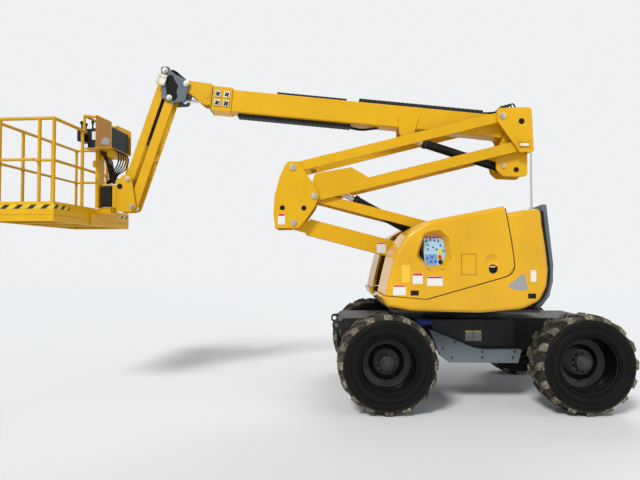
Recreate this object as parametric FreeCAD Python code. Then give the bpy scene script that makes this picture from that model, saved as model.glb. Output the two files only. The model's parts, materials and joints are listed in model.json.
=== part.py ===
import FreeCAD, Part
import os
from math import sin, cos, tan, radians, degrees, hypot, atan2, pi

# Articulating boom lift on four rough-terrain wheels, in millimetres.
# +X points to the counterweight end, the platform is at -X, +Z is up and the ground is z = 0.
# The near side is -Y. Rise angles are degrees above the horizontal.

V = FreeCAD.Vector
os.makedirs("parts", exist_ok=True)

# Wheels and axles
wheelbase = 2060.0
axle_front_x = 895.0
track_outer = 2300.0
tyre_od = 1046.0
tyre_width = 385.0
lug_pairs = 16
tyre_sides = 26
lug_height = 26.0
lug_share = 0.36
rim_lip_r = 300.0
rim_seat_r = 286.0
rim_wall = 14.0
bead_in = 36.0
disc_place = 20.0
disc_thick = 12.0
dish_rise = 26.0
hub_fit_r = 78.0
hub_r = 120.0
hub_length = 80.0
stud_circle_r = 100.0
fit_gap = 0.05
kingpin_inset = 157.5
kingpin_r = 26.0
steer_arm = 190.0
seat_gap = 0.3

# Chassis
chassis_half = 560.0
chassis_low = 560.0
chassis_top = 930.0
chassis_overhang = 470.0
frame_half = 430.0
skirt_out = 100.0
lug_r = 25.0
lug_thick = 30.0
lug_reach = 90.0
slew_x = 1925.0
slew_ring_r = 470.0
turret_floor = 1060.0
floor_plate = 25.0

# Arms: twin lower and upper parallelograms between the turret, the elbow and the top upright
lower_len = 2600.0
lower_rise = 14.7
upper_len = 2610.0
upper_rise = 13.9
lower_pivot = (2391.0, 1391.0)
link_offset = (245.0, 322.0)
elbow_top_offset = (-259.0, 345.0)
pin_r = 32.0
pin_gap = 0.06
side_gap = 6.0
lower_half = 125.0
link_in, link_out = 150.0, 180.0
upper_in, upper_out = 192.0, 222.0
cheek_in, cheek_out = 236.0, 256.0

# Main boom
boom_pivot_place = (-28.7, 278.2)
boom_rise = 5.55
boom_half = 110.0
boom_top = 92.0
boom_low = -186.0
boom_wall = 8.0
boom_tail = 150.0
boom_len = 3540.0
head_len = 240.0
inner_gap = 6.0
inner_start = 500.0
nose_length = 320.0
nose_rise = 105.0
boom_lug = (1362.0, -270.0)
lift_foot_place = (-188.0, -523.0)

# Jib and its head
jib_len = 1420.0
jib_fall = 71.5
head_pin_upper = (-266.0, 162.0)
head_pin_lower = (-210.0, -178.0)
level_eye_place = (-56.0, -181.0)

# Platform, built square about its rotator and then turned
rotator_reach = 323.0
platform_yaw = -5.0
platform_long = 1800.0
platform_deep = 800.0
platform_gap = 170.0
platform_floor = 2110.0
post_inset = 24.0
foot_half = 28.0
foot_thick = 9.0
rail_top = 3157.0
rail_mid = 2697.0
rail_r = 19.0
toe_low, toe_high = 2099.0, 2243.0

# Hood pods
hood_out = 1090.0
hood_in = 330.0
hood_skin = 30.0
hood_edge_r = 50.0
weight_half = 1060.0
weight_bow_back = 225.0
weight_bow_front = 120.0


def rounded_wire(points):
    """A closed wire in the XZ plane from rows of x, z and an optional corner radius."""
    rows = [(p[0], p[1], p[2] if len(p) > 2 else 0.0) for p in points]
    starts, ends, mids = [], [], []
    count = len(rows)
    for i, (x, z, r) in enumerate(rows):
        before = rows[i - 1]
        after = rows[(i + 1) % count]
        here = V(x, 0, z)
        a = V(before[0], 0, before[1]) - here
        b = V(after[0], 0, after[1]) - here
        if r <= 0:
            starts.append(here)
            ends.append(here)
            mids.append(None)
            continue
        half = a.getAngle(b) / 2
        cut = r / tan(half)
        a.normalize()
        b.normalize()
        bisector = a + b
        bisector.normalize()
        centre = here + bisector * (r / sin(half))
        starts.append(here + a * cut)
        ends.append(here + b * cut)
        mids.append(centre - bisector * r)
    edges = []
    for i in range(count):
        if mids[i] is not None:
            edges.append(Part.Arc(starts[i], mids[i], ends[i]).toShape())
        nxt = starts[(i + 1) % count]
        if (ends[i] - nxt).Length > 1e-6:
            edges.append(Part.LineSegment(ends[i], nxt).toShape())
    return Part.Wire(edges)


def plate(points, y0, y1):
    """A flat plate with an outline in XZ, from y0 to y1."""
    face = Part.Face(rounded_wire(points))
    face.translate(V(0, y0, 0))
    return face.extrude(V(0, y1 - y0, 0))


def box(x0, x1, y0, y1, z0, z1):
    return Part.makeBox(x1 - x0, y1 - y0, z1 - z0, V(x0, y0, z0))


def rod_y(x, z, r, y0, y1):
    return Part.makeCylinder(r, y1 - y0, V(x, y0, z), V(0, 1, 0))


def tube_between(a, b, r):
    a, b = V(*a), V(*b)
    return Part.makeCylinder(r, (b - a).Length, a, b - a)


def fuse(shapes):
    out = shapes[0]
    if len(shapes) > 1:
        out = out.multiFuse(shapes[1:]).removeSplitter()
    return out


def mirror_y(shape):
    return shape.mirror(V(0, 0, 0), V(0, 1, 0))


def both_sides(shapes):
    return shapes + [mirror_y(s) for s in shapes]


def turn_y(shape, degrees_up, x, z):
    """Turns a shape that is drawn along -X up by an angle, then moves its origin to x, z."""
    out = shape.copy()
    out.rotate(V(0, 0, 0), V(0, 1, 0), degrees_up)
    out.translate(V(x, 0, z))
    return out


def save(name, shape):
    solids = shape.Solids
    if not solids:
        raise ValueError(name + " has no solid")
    out = solids[0] if len(solids) == 1 else Part.makeCompound(solids)
    if not out.isValid():
        raise ValueError(name + " is not valid")
    out.exportStep("parts/" + name + ".step")


def step(pivot, length, rise, way):
    """The far end of an arm: way is -1 towards -X and +1 towards +X."""
    return (pivot[0] + way * length * cos(radians(rise)), pivot[1] + length * sin(radians(rise)))


def plus(a, b):
    return (a[0] + b[0], a[1] + b[1])


# Places that follow from the sizes above
axle_z = tyre_od / 2
axle_rear_x = axle_front_x + wheelbase
wheel_centre_y = (track_outer - tyre_width) / 2
kingpin_half = wheel_centre_y - kingpin_inset
skirt_half = chassis_half + skirt_out
nose_start = boom_len + head_len + 15
nose_pin = (nose_start + nose_length, nose_rise)
elbow_low = step(lower_pivot, lower_len, lower_rise, -1)
elbow_mid = plus(elbow_low, link_offset)
elbow_top = plus(elbow_mid, elbow_top_offset)
link_pivot = plus(lower_pivot, link_offset)
upright_low = step(elbow_mid, upper_len, upper_rise, 1)
upright_top = plus(upright_low, elbow_top_offset)
boom_pivot = plus(upright_low, boom_pivot_place)
lift_foot = plus(boom_pivot, lift_foot_place)
tilt = radians(boom_rise)
nose_x = boom_pivot[0] - nose_pin[0] * cos(tilt) + nose_pin[1] * sin(tilt)
nose_z = boom_pivot[1] + nose_pin[0] * sin(tilt) + nose_pin[1] * cos(tilt)
jib_pin_upper = plus((nose_x, nose_z), head_pin_upper)
jib_pin_lower = plus((nose_x, nose_z), head_pin_lower)
jib_end_upper = step(jib_pin_upper, jib_len, -jib_fall, -1)
jib_end_lower = step(jib_pin_lower, jib_len, -jib_fall, -1)
rotator_x = jib_end_lower[0] - rotator_reach


def on_boom(u, v):
    """A point at u along the boom from its pivot towards the platform, and v above its line."""
    return (boom_pivot[0] - u * cos(tilt) + v * sin(tilt), boom_pivot[1] + u * sin(tilt) + v * cos(tilt))


def ring_y(r_out, r_in, y0, y1):
    return rod_y(0, 0, r_out, y0, y1).cut(rod_y(0, 0, r_in, y0 - 1, y1 + 1))


def solid_between(near, far):
    """A closed block between two ends with as many corners each, its sides from flat triangles."""
    count = len(near)
    faces = [Part.Face(Part.makePolygon(end + end[:1])) for end in (near, far)]
    for i in range(count):
        j = (i + 1) % count
        faces.append(Part.Face(Part.makePolygon([near[i], far[i], far[j], near[i]])))
        faces.append(Part.Face(Part.makePolygon([near[i], far[j], near[j], near[i]])))
    block = Part.makeSolid(Part.makeShell(faces))
    if block.Volume < 0:
        block.reverse()
    return block


def flat_ring(r, y):
    """The corners of a closed polygon about the axle, whose flats lie at r."""
    corner_r = r / cos(pi / tyre_sides)
    turns = [2 * pi * (i + 0.5) / tyre_sides for i in range(tyre_sides)]
    return [V(corner_r * cos(t), y, corner_r * sin(t)) for t in turns]


def tread_ring(side, y, sweep, sole, groove):
    """The tread's outline at a distance from the middle plane: each lug, then the groove after it."""
    corners = []
    for i in range(lug_pairs):
        middle = i + (0.5 if side > 0 else 0.0) + sweep
        for edge, r in ((-0.5, groove), (-0.5, sole), (0.5, sole), (0.5, groove)):
            turn = 2 * pi / lug_pairs * (middle + edge * lug_share)
            corners.append(V(r * cos(turn), side * y, r * sin(turn)))
    return corners


def make_tyre():
    """A tyre about the origin, its axle along Y: slanted lugs on both sides of a narrow groove."""
    half = tyre_width / 2
    r = tyre_od / 2
    crown = r - lug_height
    wall_r = crown - 70
    foot_r = rim_lip_r + 45
    bead = half - bead_in
    split = 6.0
    # Columns: distance from the middle plane, sweep in pitches, sole radius, groove radius
    ribs = (
        (split, 0.55, r, crown),
        (half - 46, 0.07, r - 4, crown),
        (half, 0.0, wall_r + 12, wall_r),
    )
    pieces = [solid_between(flat_ring(crown - split, -split), flat_ring(crown - split, split))]
    for side in (-1, 1):
        rings = [tread_ring(side, *rib) for rib in ribs]
        pieces += [solid_between(near, far) for near, far in zip(rings, rings[1:])]
    body = fuse(pieces)
    for side in (-1, 1):
        recess = solid_between(
            flat_ring(foot_r, side * (half + 1)), flat_ring(rim_lip_r + seat_gap, side * bead))
        body = body.cut(recess)
    return body.cut(solid_between(flat_ring(rim_seat_r, -half), flat_ring(rim_seat_r, half)))


def make_rim():
    """A rim with a deep dish whose flat middle takes the studs; the outside is towards -Y."""
    half = tyre_width / 2 - bead_in
    seat = rim_seat_r - seat_gap
    well = seat - rim_wall
    barrel = ring_y(seat, well, -half - 2, half + 2)
    lips = [
        ring_y(rim_lip_r, well, -half - 12, -half - seat_gap),
        ring_y(rim_lip_r, well, half + seat_gap, half + 12),
    ]
    front = disc_place - disc_thick
    dish = [
        (hub_fit_r + fit_gap, front),
        (stud_circle_r + 32, front),
        (well - 50, front + dish_rise),
        (well + 2, front + dish_rise),
        (well + 2, front + dish_rise + disc_thick),
        (well - 54, front + dish_rise + disc_thick),
        (stud_circle_r + 28, disc_place),
        (hub_fit_r + fit_gap, disc_place),
    ]
    wire = Part.makePolygon([V(q, y, 0) for q, y in dish + dish[:1]])
    disc = Part.Face(wire).revolve(V(0, 0, 0), V(0, 1, 0), 360)
    return fuse([barrel] + lips + [disc])


def make_hub():
    """The planetary hub: its flange behind the disc, the drum through it and the cap."""
    flange = rod_y(0, 0, hub_r, disc_place, disc_place + 34)
    drum = rod_y(0, 0, hub_fit_r, disc_place - 90, disc_place + 1)
    cap = rod_y(0, 0, hub_fit_r - 26, disc_place - 104, disc_place - 89)
    back = rod_y(0, 0, hub_fit_r, disc_place + 33, disc_place + hub_length)
    return fuse([flange, drum, cap, back])


def place_wheel(shape, x, side):
    """side is -1 for the near wheels; the outer face looks away from the machine."""
    out = shape.copy()
    if side > 0:
        out = mirror_y(out)
    out.translate(V(x, side * wheel_centre_y, axle_z))
    return out


wheel_places = (
    ("front_near", axle_front_x, -1),
    ("front_far", axle_front_x, 1),
    ("rear_near", axle_rear_x, -1),
    ("rear_far", axle_rear_x, 1),
)

tyre = make_tyre()
rim = make_rim()
hub = make_hub()
for name, x, side in wheel_places:
    save("tyre_" + name, place_wheel(tyre, x, side))
    save("rim_" + name, place_wheel(rim, x, side))
    save("hub_" + name, place_wheel(hub, x, side))

# Axles: a beam with a differential housing; its ends reach the hubs at the rear, the kingpins in front
seat_z = axle_z + 72
hub_back = wheel_centre_y - disc_place - hub_length
spindle_r = 70.0


def axle_beam(x, end):
    beam = rod_y(x, axle_z, 62, -end, end)
    case = Part.makeSphere(150, V(x, 60, axle_z))
    pads = both_sides([box(x - 90, x + 90, 330, 425, axle_z - 10, seat_z)])
    return fuse([beam, case] + pads)


rear_ends = both_sides([rod_y(axle_rear_x, axle_z, 96, hub_back - 140, hub_back - seat_gap)])
save("axle_rear", fuse([axle_beam(axle_rear_x, hub_back - 100)] + rear_ends))

fork_z = 118.0
fork_x0, fork_x1 = axle_front_x - 60, axle_front_x + 60
fork_y0, fork_y1 = kingpin_half - 130, kingpin_half + 55
front_forks = both_sides([
    box(fork_x0, fork_x1, fork_y0, fork_y1, axle_z + 84, axle_z + fork_z),
    box(fork_x0, fork_x1, fork_y0, fork_y1, axle_z - fork_z, axle_z - 84),
    box(fork_x0, fork_x1, fork_y0 - 20, fork_y0 + 30, axle_z - fork_z, axle_z + fork_z),
])
kingpins = both_sides([
    Part.makeCylinder(kingpin_r, 2 * fork_z + 20, V(axle_front_x, kingpin_half, axle_z - fork_z - 10)),
])
ram_x = axle_front_x + steer_arm
ram_z = axle_z - 8
ram_end_low, ram_end_high = -520.0, -120.0
ram_r, ram_rod_r, ram_eye_r = 32.0, 15.0, 24.0
ram_brackets = [
    box(axle_front_x + 20, ram_x + ram_r + 12, y - 9, y + 9, ram_z - ram_r - 10, ram_z + ram_r + 10)
    .cut(rod_y(ram_x, ram_z, ram_r + seat_gap, y - 20, y + 20))
    for y in (-460, -180)
]
front_beam = axle_beam(axle_front_x, kingpin_half - 120)
save("axle_front", fuse([front_beam] + front_forks + kingpins + ram_brackets))
ram = rod_y(ram_x, ram_z, ram_r, ram_end_low, ram_end_high).cut(
    rod_y(ram_x, ram_z, ram_rod_r + 0.06, ram_end_low - 1, ram_end_high - 40))
save("steering_ram", ram)
ram_rod = fuse([
    rod_y(ram_x, ram_z, ram_rod_r, -kingpin_half + ram_eye_r * 0.7, ram_end_high - 150),
    Part.makeCylinder(ram_eye_r, 28, V(ram_x, -kingpin_half, ram_z - 14)),
])
save("steering_rod", ram_rod)


def steering_knuckle(side):
    """The knuckle on its kingpin, with the hub spindle outside and the steering arm behind."""
    y = side * kingpin_half
    body = Part.makeCylinder(54, 156, V(axle_front_x, y, axle_z - 78))
    inner = sorted((y, side * (hub_back - seat_gap)))
    spindle = rod_y(axle_front_x, axle_z, spindle_r, inner[0], inner[1])
    arm = box(axle_front_x, axle_front_x + steer_arm + 30, y - 28, y + 28, axle_z - 60, axle_z - 34)
    hole = Part.makeCylinder(kingpin_r + fit_gap, 400, V(axle_front_x, y, axle_z - 200))
    eye = Part.makeCylinder(12 + fit_gap, 100, V(axle_front_x + steer_arm, y, axle_z - 100))
    return fuse([body, spindle, arm]).cut(hole).cut(eye)


save("steering_knuckle_near", steering_knuckle(-1))
save("steering_knuckle_far", steering_knuckle(1))
rod_x = axle_front_x + steer_arm
tie_z = axle_z - 92
tie = Part.makeCylinder(18, 2 * kingpin_half, V(rod_x, -kingpin_half, tie_z), V(0, 1, 0))
tie_ends = both_sides([
    Part.makeCylinder(26, 44, V(rod_x, kingpin_half, tie_z - 22)),
    Part.makeCylinder(12, ram_z - 14.3 - tie_z - 10, V(rod_x, kingpin_half, tie_z + 10)),
])
save("tie_rod", fuse([tie] + tie_ends))

# Chassis frame with the slew ring's lower race, side skirts and tie-down lugs
frame_low_x = axle_front_x - chassis_overhang
frame_high_x = axle_rear_x + chassis_overhang
frame_outline = [
    (frame_low_x, seat_z + 110, 40),
    (frame_low_x + 150, seat_z, 60),
    (axle_front_x + 260, seat_z, 60),
    (axle_front_x + 360, chassis_low, 60),
    (axle_rear_x - 360, chassis_low, 60),
    (axle_rear_x - 260, seat_z, 60),
    (frame_high_x - 150, seat_z, 60),
    (frame_high_x, seat_z + 110, 40),
    (frame_high_x, chassis_top, 60),
    (frame_low_x, chassis_top, 60),
]
frame_body = plate(frame_outline, -frame_half, frame_half)
arches = [rod_y(x, axle_z, 190, -290, 290) for x in (axle_front_x, axle_rear_x)]
mid_x0 = axle_front_x + tyre_od / 2 + 40
mid_x1 = axle_rear_x - tyre_od / 2 - 40
mid_box = box(mid_x0, mid_x1, -chassis_half, chassis_half, chassis_low + 60, chassis_top)
race = Part.makeCylinder(slew_ring_r, 55, V(slew_x, 0, chassis_top - 1))
lug_places = ((frame_low_x, -1), (frame_high_x, 1))
lugs = []
for x, way in lug_places:
    for side in (-1, 1):
        y = side * (frame_half - 60)
        outline = [
            (x - way * 20, chassis_top - 150),
            (x - way * 20, chassis_top - 30),
            (x + way * lug_reach, chassis_top - 40, 45),
            (x + way * lug_reach, chassis_top - 140, 45),
        ]
        lugs.append(plate(outline, y - lug_thick / 2, y + lug_thick / 2).cut(
            rod_y(x + way * lug_reach / 2, chassis_top - 90, lug_r, y - 100, y + 100)))
save("chassis_frame", fuse([frame_body.cut(Part.makeCompound(arches)), mid_box, race] + lugs))

skirt_outline = [
    (1413, 828),
    (1650, 735, 60),
    (1905, 625, 80),
    (2030, 604, 60),
    (2440, 604),
    (2400, 456),
    (1631, 463, 30),
    (1535, 533, 40),
    (1470, 690, 20),
]
skirt = plate(skirt_outline, chassis_half + seat_gap, skirt_half)
save("side_skirts", Part.makeCompound(both_sides([skirt])))

# The hood doors hinge on a line along their inner top edge
hood_line_low = (1330.0, 2022.0)
hood_line_high = (2118.0, 2174.0)
hinge_drop = 16.0


def hinge_piece(a, b, r):
    """A round piece along the far door's hinge line, from a to b past the line's middle."""
    (x0, z0), (x1, z1) = hood_line_low, hood_line_high
    long = hypot(x1 - x0, z1 - z0)
    way = V((x1 - x0) / long, 0, (z1 - z0) / long)
    mid = V((x0 + x1) / 2, hood_in, (z0 + z1) / 2 - hinge_drop)
    return Part.makeCylinder(r, b - a, mid + way * a, way)


# Turret: floor plate, ring, tower cheeks
tower_outline = [
    (lower_pivot[0] - 240, turret_floor),
    (lower_pivot[0] - 200, lower_pivot[1] - 30, 80),
    (link_pivot[0] - 90, link_pivot[1] + 95, 60),
    (link_pivot[0] + 80, link_pivot[1] + 95, 60),
    (link_pivot[0] + 80, turret_floor),
]
cheeks = both_sides([plate(tower_outline, cheek_in, cheek_out)])
race_top = chassis_top + 54
race_base = race_top + seat_gap
upper_race = Part.makeCylinder(slew_ring_r - 40, turret_floor - race_base + 1, V(slew_x, 0, race_base))
floor_top = turret_floor + floor_plate
floor_half = hood_out - hood_skin - seat_gap
floor = box(960, 2480, -floor_half, floor_half, turret_floor, floor_top)
tower_back = link_pivot[0] + 80
back_web = box(
    link_pivot[0] + 20, link_pivot[0] + 45, -cheek_in - 1, cheek_in + 1, turret_floor, lower_pivot[1] + 100
)
tower_pins = [
    rod_y(lower_pivot[0], lower_pivot[1], pin_r, -cheek_out - 12, cheek_out + 12),
    rod_y(link_pivot[0], link_pivot[1], pin_r, -cheek_out - 12, cheek_out + 12),
]
weight_foot_x = tower_back + 84
floor_tail = box(2400, weight_foot_x, -cheek_out, cheek_out, turret_floor, floor_top)
hinge_rods = both_sides([hinge_piece(-380, 380, 8)])
hood_line_mid = ((hood_line_low[0] + hood_line_high[0]) / 2, (hood_line_low[1] + hood_line_high[1]) / 2)
hood_slope = (hood_line_high[1] - hood_line_low[1]) / (hood_line_high[0] - hood_line_low[0])
stays = []
for shift in (-350, 350):
    x = hood_line_mid[0] + shift
    z = hood_line_mid[1] + shift * hood_slope - hinge_drop
    stays.append(box(x - 15, x + 15, hood_in - 40, hood_in - 1, turret_floor + 1, z))
stays = both_sides(stays)
ribs = both_sides([box(1000, 2300, hood_in - 50, hood_in - 30, floor_top - 1, floor_top + 185)])
turret_parts = [upper_race, floor, floor_tail, back_web] + cheeks + tower_pins
save("turret_frame", fuse(turret_parts + ribs + hinge_rods + stays))

# Arms. Each is drawn along -X from its turret or upright pin, then turned.


def eye_hole(x, z, half=400):
    return rod_y(x, z, pin_r + pin_gap, -half, half)


def arm_bar(length, r0, r1, depth, y0, y1):
    """A bar along -X with round ends, drawn from its pin at the origin."""
    c0 = min(r0, depth / 2) - 1
    c1 = min(r1, depth / 2) - 1
    outline = [
        (r0, depth / 2, c0),
        (r0, -depth / 2, c0),
        (-length - r1, -depth / 2, c1),
        (-length - r1, depth / 2, c1),
    ]
    return plate(outline, y0, y1)


scissor_foot_s = 700.0
scissor_foot_t = 165.0
lower_depth = 200.0
lower_box = arm_bar(lower_len, 78, 74, lower_depth * 0.75, -lower_half, lower_half)
lower_mid = box(-lower_len + 170, -150, -lower_half, lower_half, -lower_depth / 2, lower_depth / 2)
foot_outline = [
    (-scissor_foot_s + 130, lower_depth / 2 - 1),
    (-scissor_foot_s + 30, scissor_foot_t + 55, 40),
    (-scissor_foot_s - 60, scissor_foot_t + 45, 40),
    (-scissor_foot_s - 130, lower_depth / 2 - 1),
]
foot_plates = both_sides([plate(foot_outline, 62, 82)])
foot_pin = rod_y(-scissor_foot_s, scissor_foot_t, pin_r, -96, 96)
lower_solid = fuse([lower_box, lower_mid] + foot_plates + [foot_pin])
lower_solid = lower_solid.cut(eye_hole(0, 0)).cut(eye_hole(-lower_len, 0))
save("lower_arm", turn_y(lower_solid, lower_rise, *lower_pivot))

link_bars = both_sides([arm_bar(lower_len, 62, 62, 116, link_in, link_out)])
link_ties = [
    rod_y(-330, 0, 34, -link_in - 1, link_in + 1),
    rod_y(-lower_len + 190, 0, 34, -link_in - 1, link_in + 1),
]
link_solid = fuse(link_bars + link_ties).cut(eye_hole(0, 0)).cut(eye_hole(-lower_len, 0))
save("lower_link", turn_y(link_solid, lower_rise, *link_pivot))

# Upper arm, with its gusset at the elbow end, drawn along -X from the upright's pin
scissor_eye = (267.0, 105.0)
angle = radians(upper_rise)
eye_s = -(upper_len - (scissor_eye[0] * cos(angle) + scissor_eye[1] * sin(angle)))
eye_t = -scissor_eye[0] * sin(angle) + scissor_eye[1] * cos(angle)
gusset = [
    (-upper_len - 62, 10, 50),
    (-upper_len + 70, 270, 60),
    (-upper_len + 520, 235, 40),
    (-upper_len + 700, 60),
    (-upper_len + 620, -62),
    (-upper_len - 62, -62, 50),
]
upper_bars = both_sides([
    arm_bar(upper_len, 66, 66, 128, upper_in, upper_out),
    plate(gusset, upper_in, upper_out),
    rod_y(eye_s, eye_t, 58, 62, upper_in + 1),
])
upper_ties = [rod_y(-upper_len + 620, 20, 36, -upper_in - 1, upper_in + 1)]
upper_solid = fuse(upper_bars + upper_ties).cut(eye_hole(0, 0)).cut(eye_hole(-upper_len, 0))
save("upper_arm", turn_y(upper_solid, -upper_rise, *upright_low))

top_bars = both_sides([arm_bar(upper_len, 60, 60, 118, upper_in, upper_out)])
top_ties = [rod_y(-upper_len + 240, 0, 32, -upper_in - 1, upper_in + 1)]
top_solid = fuse(top_bars + top_ties).cut(eye_hole(0, 0)).cut(eye_hole(-upper_len, 0))
save("upper_link", turn_y(top_solid, -upper_rise, *upright_top))

# Elbow: two cheeks, a curved front web and the three pins
ex, ez = elbow_mid
elbow_outline = [
    (ex - 331, ez + 415, 60),
    (ex - 190, ez + 422, 70),
    (ex - 110, ez + 290),
    (ex + 30, ez + 95, 40),
    (ex + 62, ez + 0, 60),
    (ex + 12, ez - 125, 40),
    (ex - 105, ez - 290, 60),
    (ex - 190, ez - 385, 40),
    (ex - 470, ez - 391, 30),
    (ex - 491, ez - 218, 200),
    (ex - 477, ez + 5, 300),
    (ex - 414, ez + 241, 300),
]
elbow_cheek = plate(elbow_outline, cheek_in, cheek_out)
holes = Part.makeCompound([
    rod_y(ex - 384, ez - 144, 30, cheek_in - 1, cheek_out + 1),
    rod_y(ex - 125, ez - 148, 30, cheek_in - 1, cheek_out + 1),
])
elbow_cheek = elbow_cheek.cut(holes)
web_outline = [
    (ex - 331, ez + 415),
    (ex - 414, ez + 241),
    (ex - 477, ez + 5),
    (ex - 491, ez - 218),
    (ex - 470, ez - 391),
    (ex - 450, ez - 391),
    (ex - 471, ez - 218),
    (ex - 457, ez + 5),
    (ex - 394, ez + 236),
    (ex - 313, ez + 405),
]
elbow_web = plate(web_outline, -cheek_in - 1, cheek_in + 1)
elbow_pins = [
    rod_y(p[0], p[1], pin_r, -cheek_out - 12, cheek_out + 12) for p in (elbow_low, elbow_mid, elbow_top)
]
save("elbow", fuse(both_sides([elbow_cheek]) + [elbow_web] + elbow_pins))

# Top upright: outer cheeks, inner cheeks round the boom and the lift cylinder's foot
bx, bz = boom_pivot
upright_outline = [
    (bx - 304, bz + 159, 50),
    (bx + 123, bz + 173, 50),
    (bx + 144, bz - 377, 30),
    (bx - 25, bz - 377),
    (bx - 289, bz - 2, 60),
]
inner_outline = [
    (bx - 60, bz + 95, 60),
    (bx + 110, bz + 95, 60),
    (bx + 110, bz - 660, 60),
    (bx - 195, bz - 648, 80),
    (bx - 273, bz - 571, 80),
    (bx - 280, bz - 363, 60),
]
inner_in, inner_out = 120.0, 140.0
access_hole = rod_y(bx, bz, 36, cheek_in - 1, cheek_out + 1)
outer_cheeks = both_sides([plate(upright_outline, cheek_in, cheek_out).cut(access_hole)])
inner_cheeks = both_sides([
    plate(inner_outline, inner_in, inner_out).cut(rod_y(bx - 28, bz - 571, 34, inner_in - 1, inner_out + 1))
])
rear_web = box(bx + 92, bx + 110, -inner_in - 1, inner_in + 1, bz - 600, bz - 250)
joiners = both_sides([
    box(bx + 80, bx + 110, inner_out - 1, cheek_in + 1, bz - 377, bz - 352),
])
upright_pins = [
    rod_y(bx, bz, pin_r + 6, -inner_out - 12, inner_out + 12),
    rod_y(lift_foot[0], lift_foot[1], pin_r, -inner_out - 10, inner_out + 10),
    rod_y(upright_low[0], upright_low[1], pin_r, -cheek_out - 12, cheek_out + 12),
] + both_sides([
    rod_y(upright_top[0], upright_top[1], pin_r, upper_in - 8, cheek_out + 12),
])
save("top_upright", fuse(outer_cheeks + inner_cheeks + [rear_web] + joiners + upright_pins))

# Main boom, drawn along -X from its pivot


inner_half = boom_half - boom_wall - inner_gap
inner_low = boom_low + boom_wall + inner_gap
inner_top = boom_top - boom_wall - inner_gap


def boom_section(half, low, high, x0, x1, wall):
    """A box section with rounded corners along X, hollow."""
    outer = Part.makeBox(x1 - x0, 2 * half, high - low, V(x0, -half, low))
    long_edges = [e for e in outer.Edges if abs(e.BoundBox.XLength - (x1 - x0)) < 1e-6]
    outer = outer.makeFillet(18, long_edges)
    room = half - wall
    inner = Part.makeBox(x1 - x0 + 2, 2 * room, high - low - 2 * wall, V(x0 - 1, -room, low + wall))
    return outer.cut(inner)


boom_tube = boom_section(boom_half, boom_low, boom_top, -boom_len, -60, boom_wall)
tail_outline = [
    (boom_tail - 40, 80, 60),
    (boom_tail - 40, -90, 60),
    (-120, boom_low, 20),
    (-420, boom_low),
    (-420, boom_top),
    (-60, boom_top, 30),
]
tail_cheeks = both_sides([plate(tail_outline, boom_half - 20, boom_half)])
boss = ring_y(62, pin_r + 6 + pin_gap, -boom_half, boom_half)
boss_hole = rod_y(0, 0, pin_r + 6 + pin_gap, -200, 200)
lug_u, lug_v = boom_lug
bracket = [
    (-lug_u + 150, -20, 20),
    (-lug_u + 95, lug_v - 20, 50),
    (-lug_u - 75, lug_v - 20, 50),
    (-lug_u - 110, -60, 20),
    (-lug_u - 60, -20, 20),
]
brackets = both_sides([
    plate(bracket, boom_half - 1, boom_half + 14),
    rod_y(-lug_u, lug_v, 44, 60, boom_half),
    rod_y(-lug_u, lug_v, pin_r - 4, boom_half, boom_half + 26),
])
head_lo, head_hi = boom_low - 8, boom_top + 16
pad_u = boom_len + head_len
room = boom_half - boom_wall
bore_lo, bore_hi = boom_low + boom_wall, boom_top - boom_wall
head_bore = box(-pad_u - 1, -boom_len + 1, -room, room, bore_lo, bore_hi)
head = box(-pad_u, -boom_len, -boom_half - 16, boom_half + 16, head_lo, head_hi).cut(head_bore)
pads = both_sides([
    box(-pad_u + 10, -pad_u + 90, inner_half + seat_gap, room + 2, z - 40, z + 40)
    for z in (boom_top - 70, boom_low + 70)
])
for y in (-55, 55):
    pads.append(box(-pad_u + 10, -pad_u + 90, y - 35, y + 35, inner_top + seat_gap, bore_hi + 2))
    pads.append(box(-pad_u + 10, -pad_u + 90, y - 35, y + 35, bore_lo - 2, inner_low - seat_gap))
pad_plates = both_sides([
    box(-boom_len - x - 42, -boom_len - x + 42, boom_half + 15, boom_half + 22, z - 42, z + 42)
    for x in (62, 172) for z in (14, -98)
])
tail_box = fuse([boom_tube] + pad_plates + tail_cheeks + [boss] + brackets + [head] + pads)
save("boom_outer", turn_y(tail_box.cut(boss_hole), boom_rise, *boom_pivot))

tray_low = box(-boom_len + 85, -2045, -62, 62, boom_low - 46, boom_low - seat_gap)
tray_top_a = box(-2993, -2125, -70, 70, boom_top + seat_gap, boom_top + 32)
tray_top_b = box(-1969, -421, -70, 70, boom_top + seat_gap, boom_top + 52)
save("hose_trays", turn_y(Part.makeCompound([tray_low, tray_top_a, tray_top_b]), boom_rise, *boom_pivot))

inner_tube = boom_section(inner_half, inner_low, inner_top, -nose_start - 10, -inner_start, 8)
nose_outline = [
    (-nose_start, 140, 20),
    (-nose_start, 60),
    (-nose_start + 95, 60),
    (-nose_start + 95, -125),
    (-nose_start - 95, -125, 30),
    (-nose_start - 345, 45, 40),
    (-nose_start - 375, 128, 35),
    (-nose_start - 290, 152, 30),
]
nose_cheeks = both_sides([plate(nose_outline, inner_half - 16, inner_half)])
nose_boss = both_sides([rod_y(-nose_start - 62, -16, 34, inner_half - 2, inner_half + 5)])
nose_pin_part = rod_y(-nose_pin[0], nose_pin[1], pin_r, -inner_half - 34, inner_half + 34)
level_foot = (nose_start - 495, -40.0)
foot_pin_level = rod_y(-level_foot[0], level_foot[1], 20, -inner_half + 4, inner_half - 4)
tail_pads = []
tail_x0, tail_x1 = -inner_start - 90, -inner_start - 10
for y in (-50, 50):
    tail_pads.append(box(tail_x0, tail_x1, y - 35, y + 35, inner_top - 2, bore_hi - seat_gap))
    tail_pads.append(box(tail_x0, tail_x1, y - 35, y + 35, bore_lo + seat_gap, inner_low + 2))
inner_solid = fuse([inner_tube] + tail_pads + nose_cheeks + nose_boss + [nose_pin_part, foot_pin_level])
save("boom_inner", turn_y(inner_solid, boom_rise, *boom_pivot))


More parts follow.
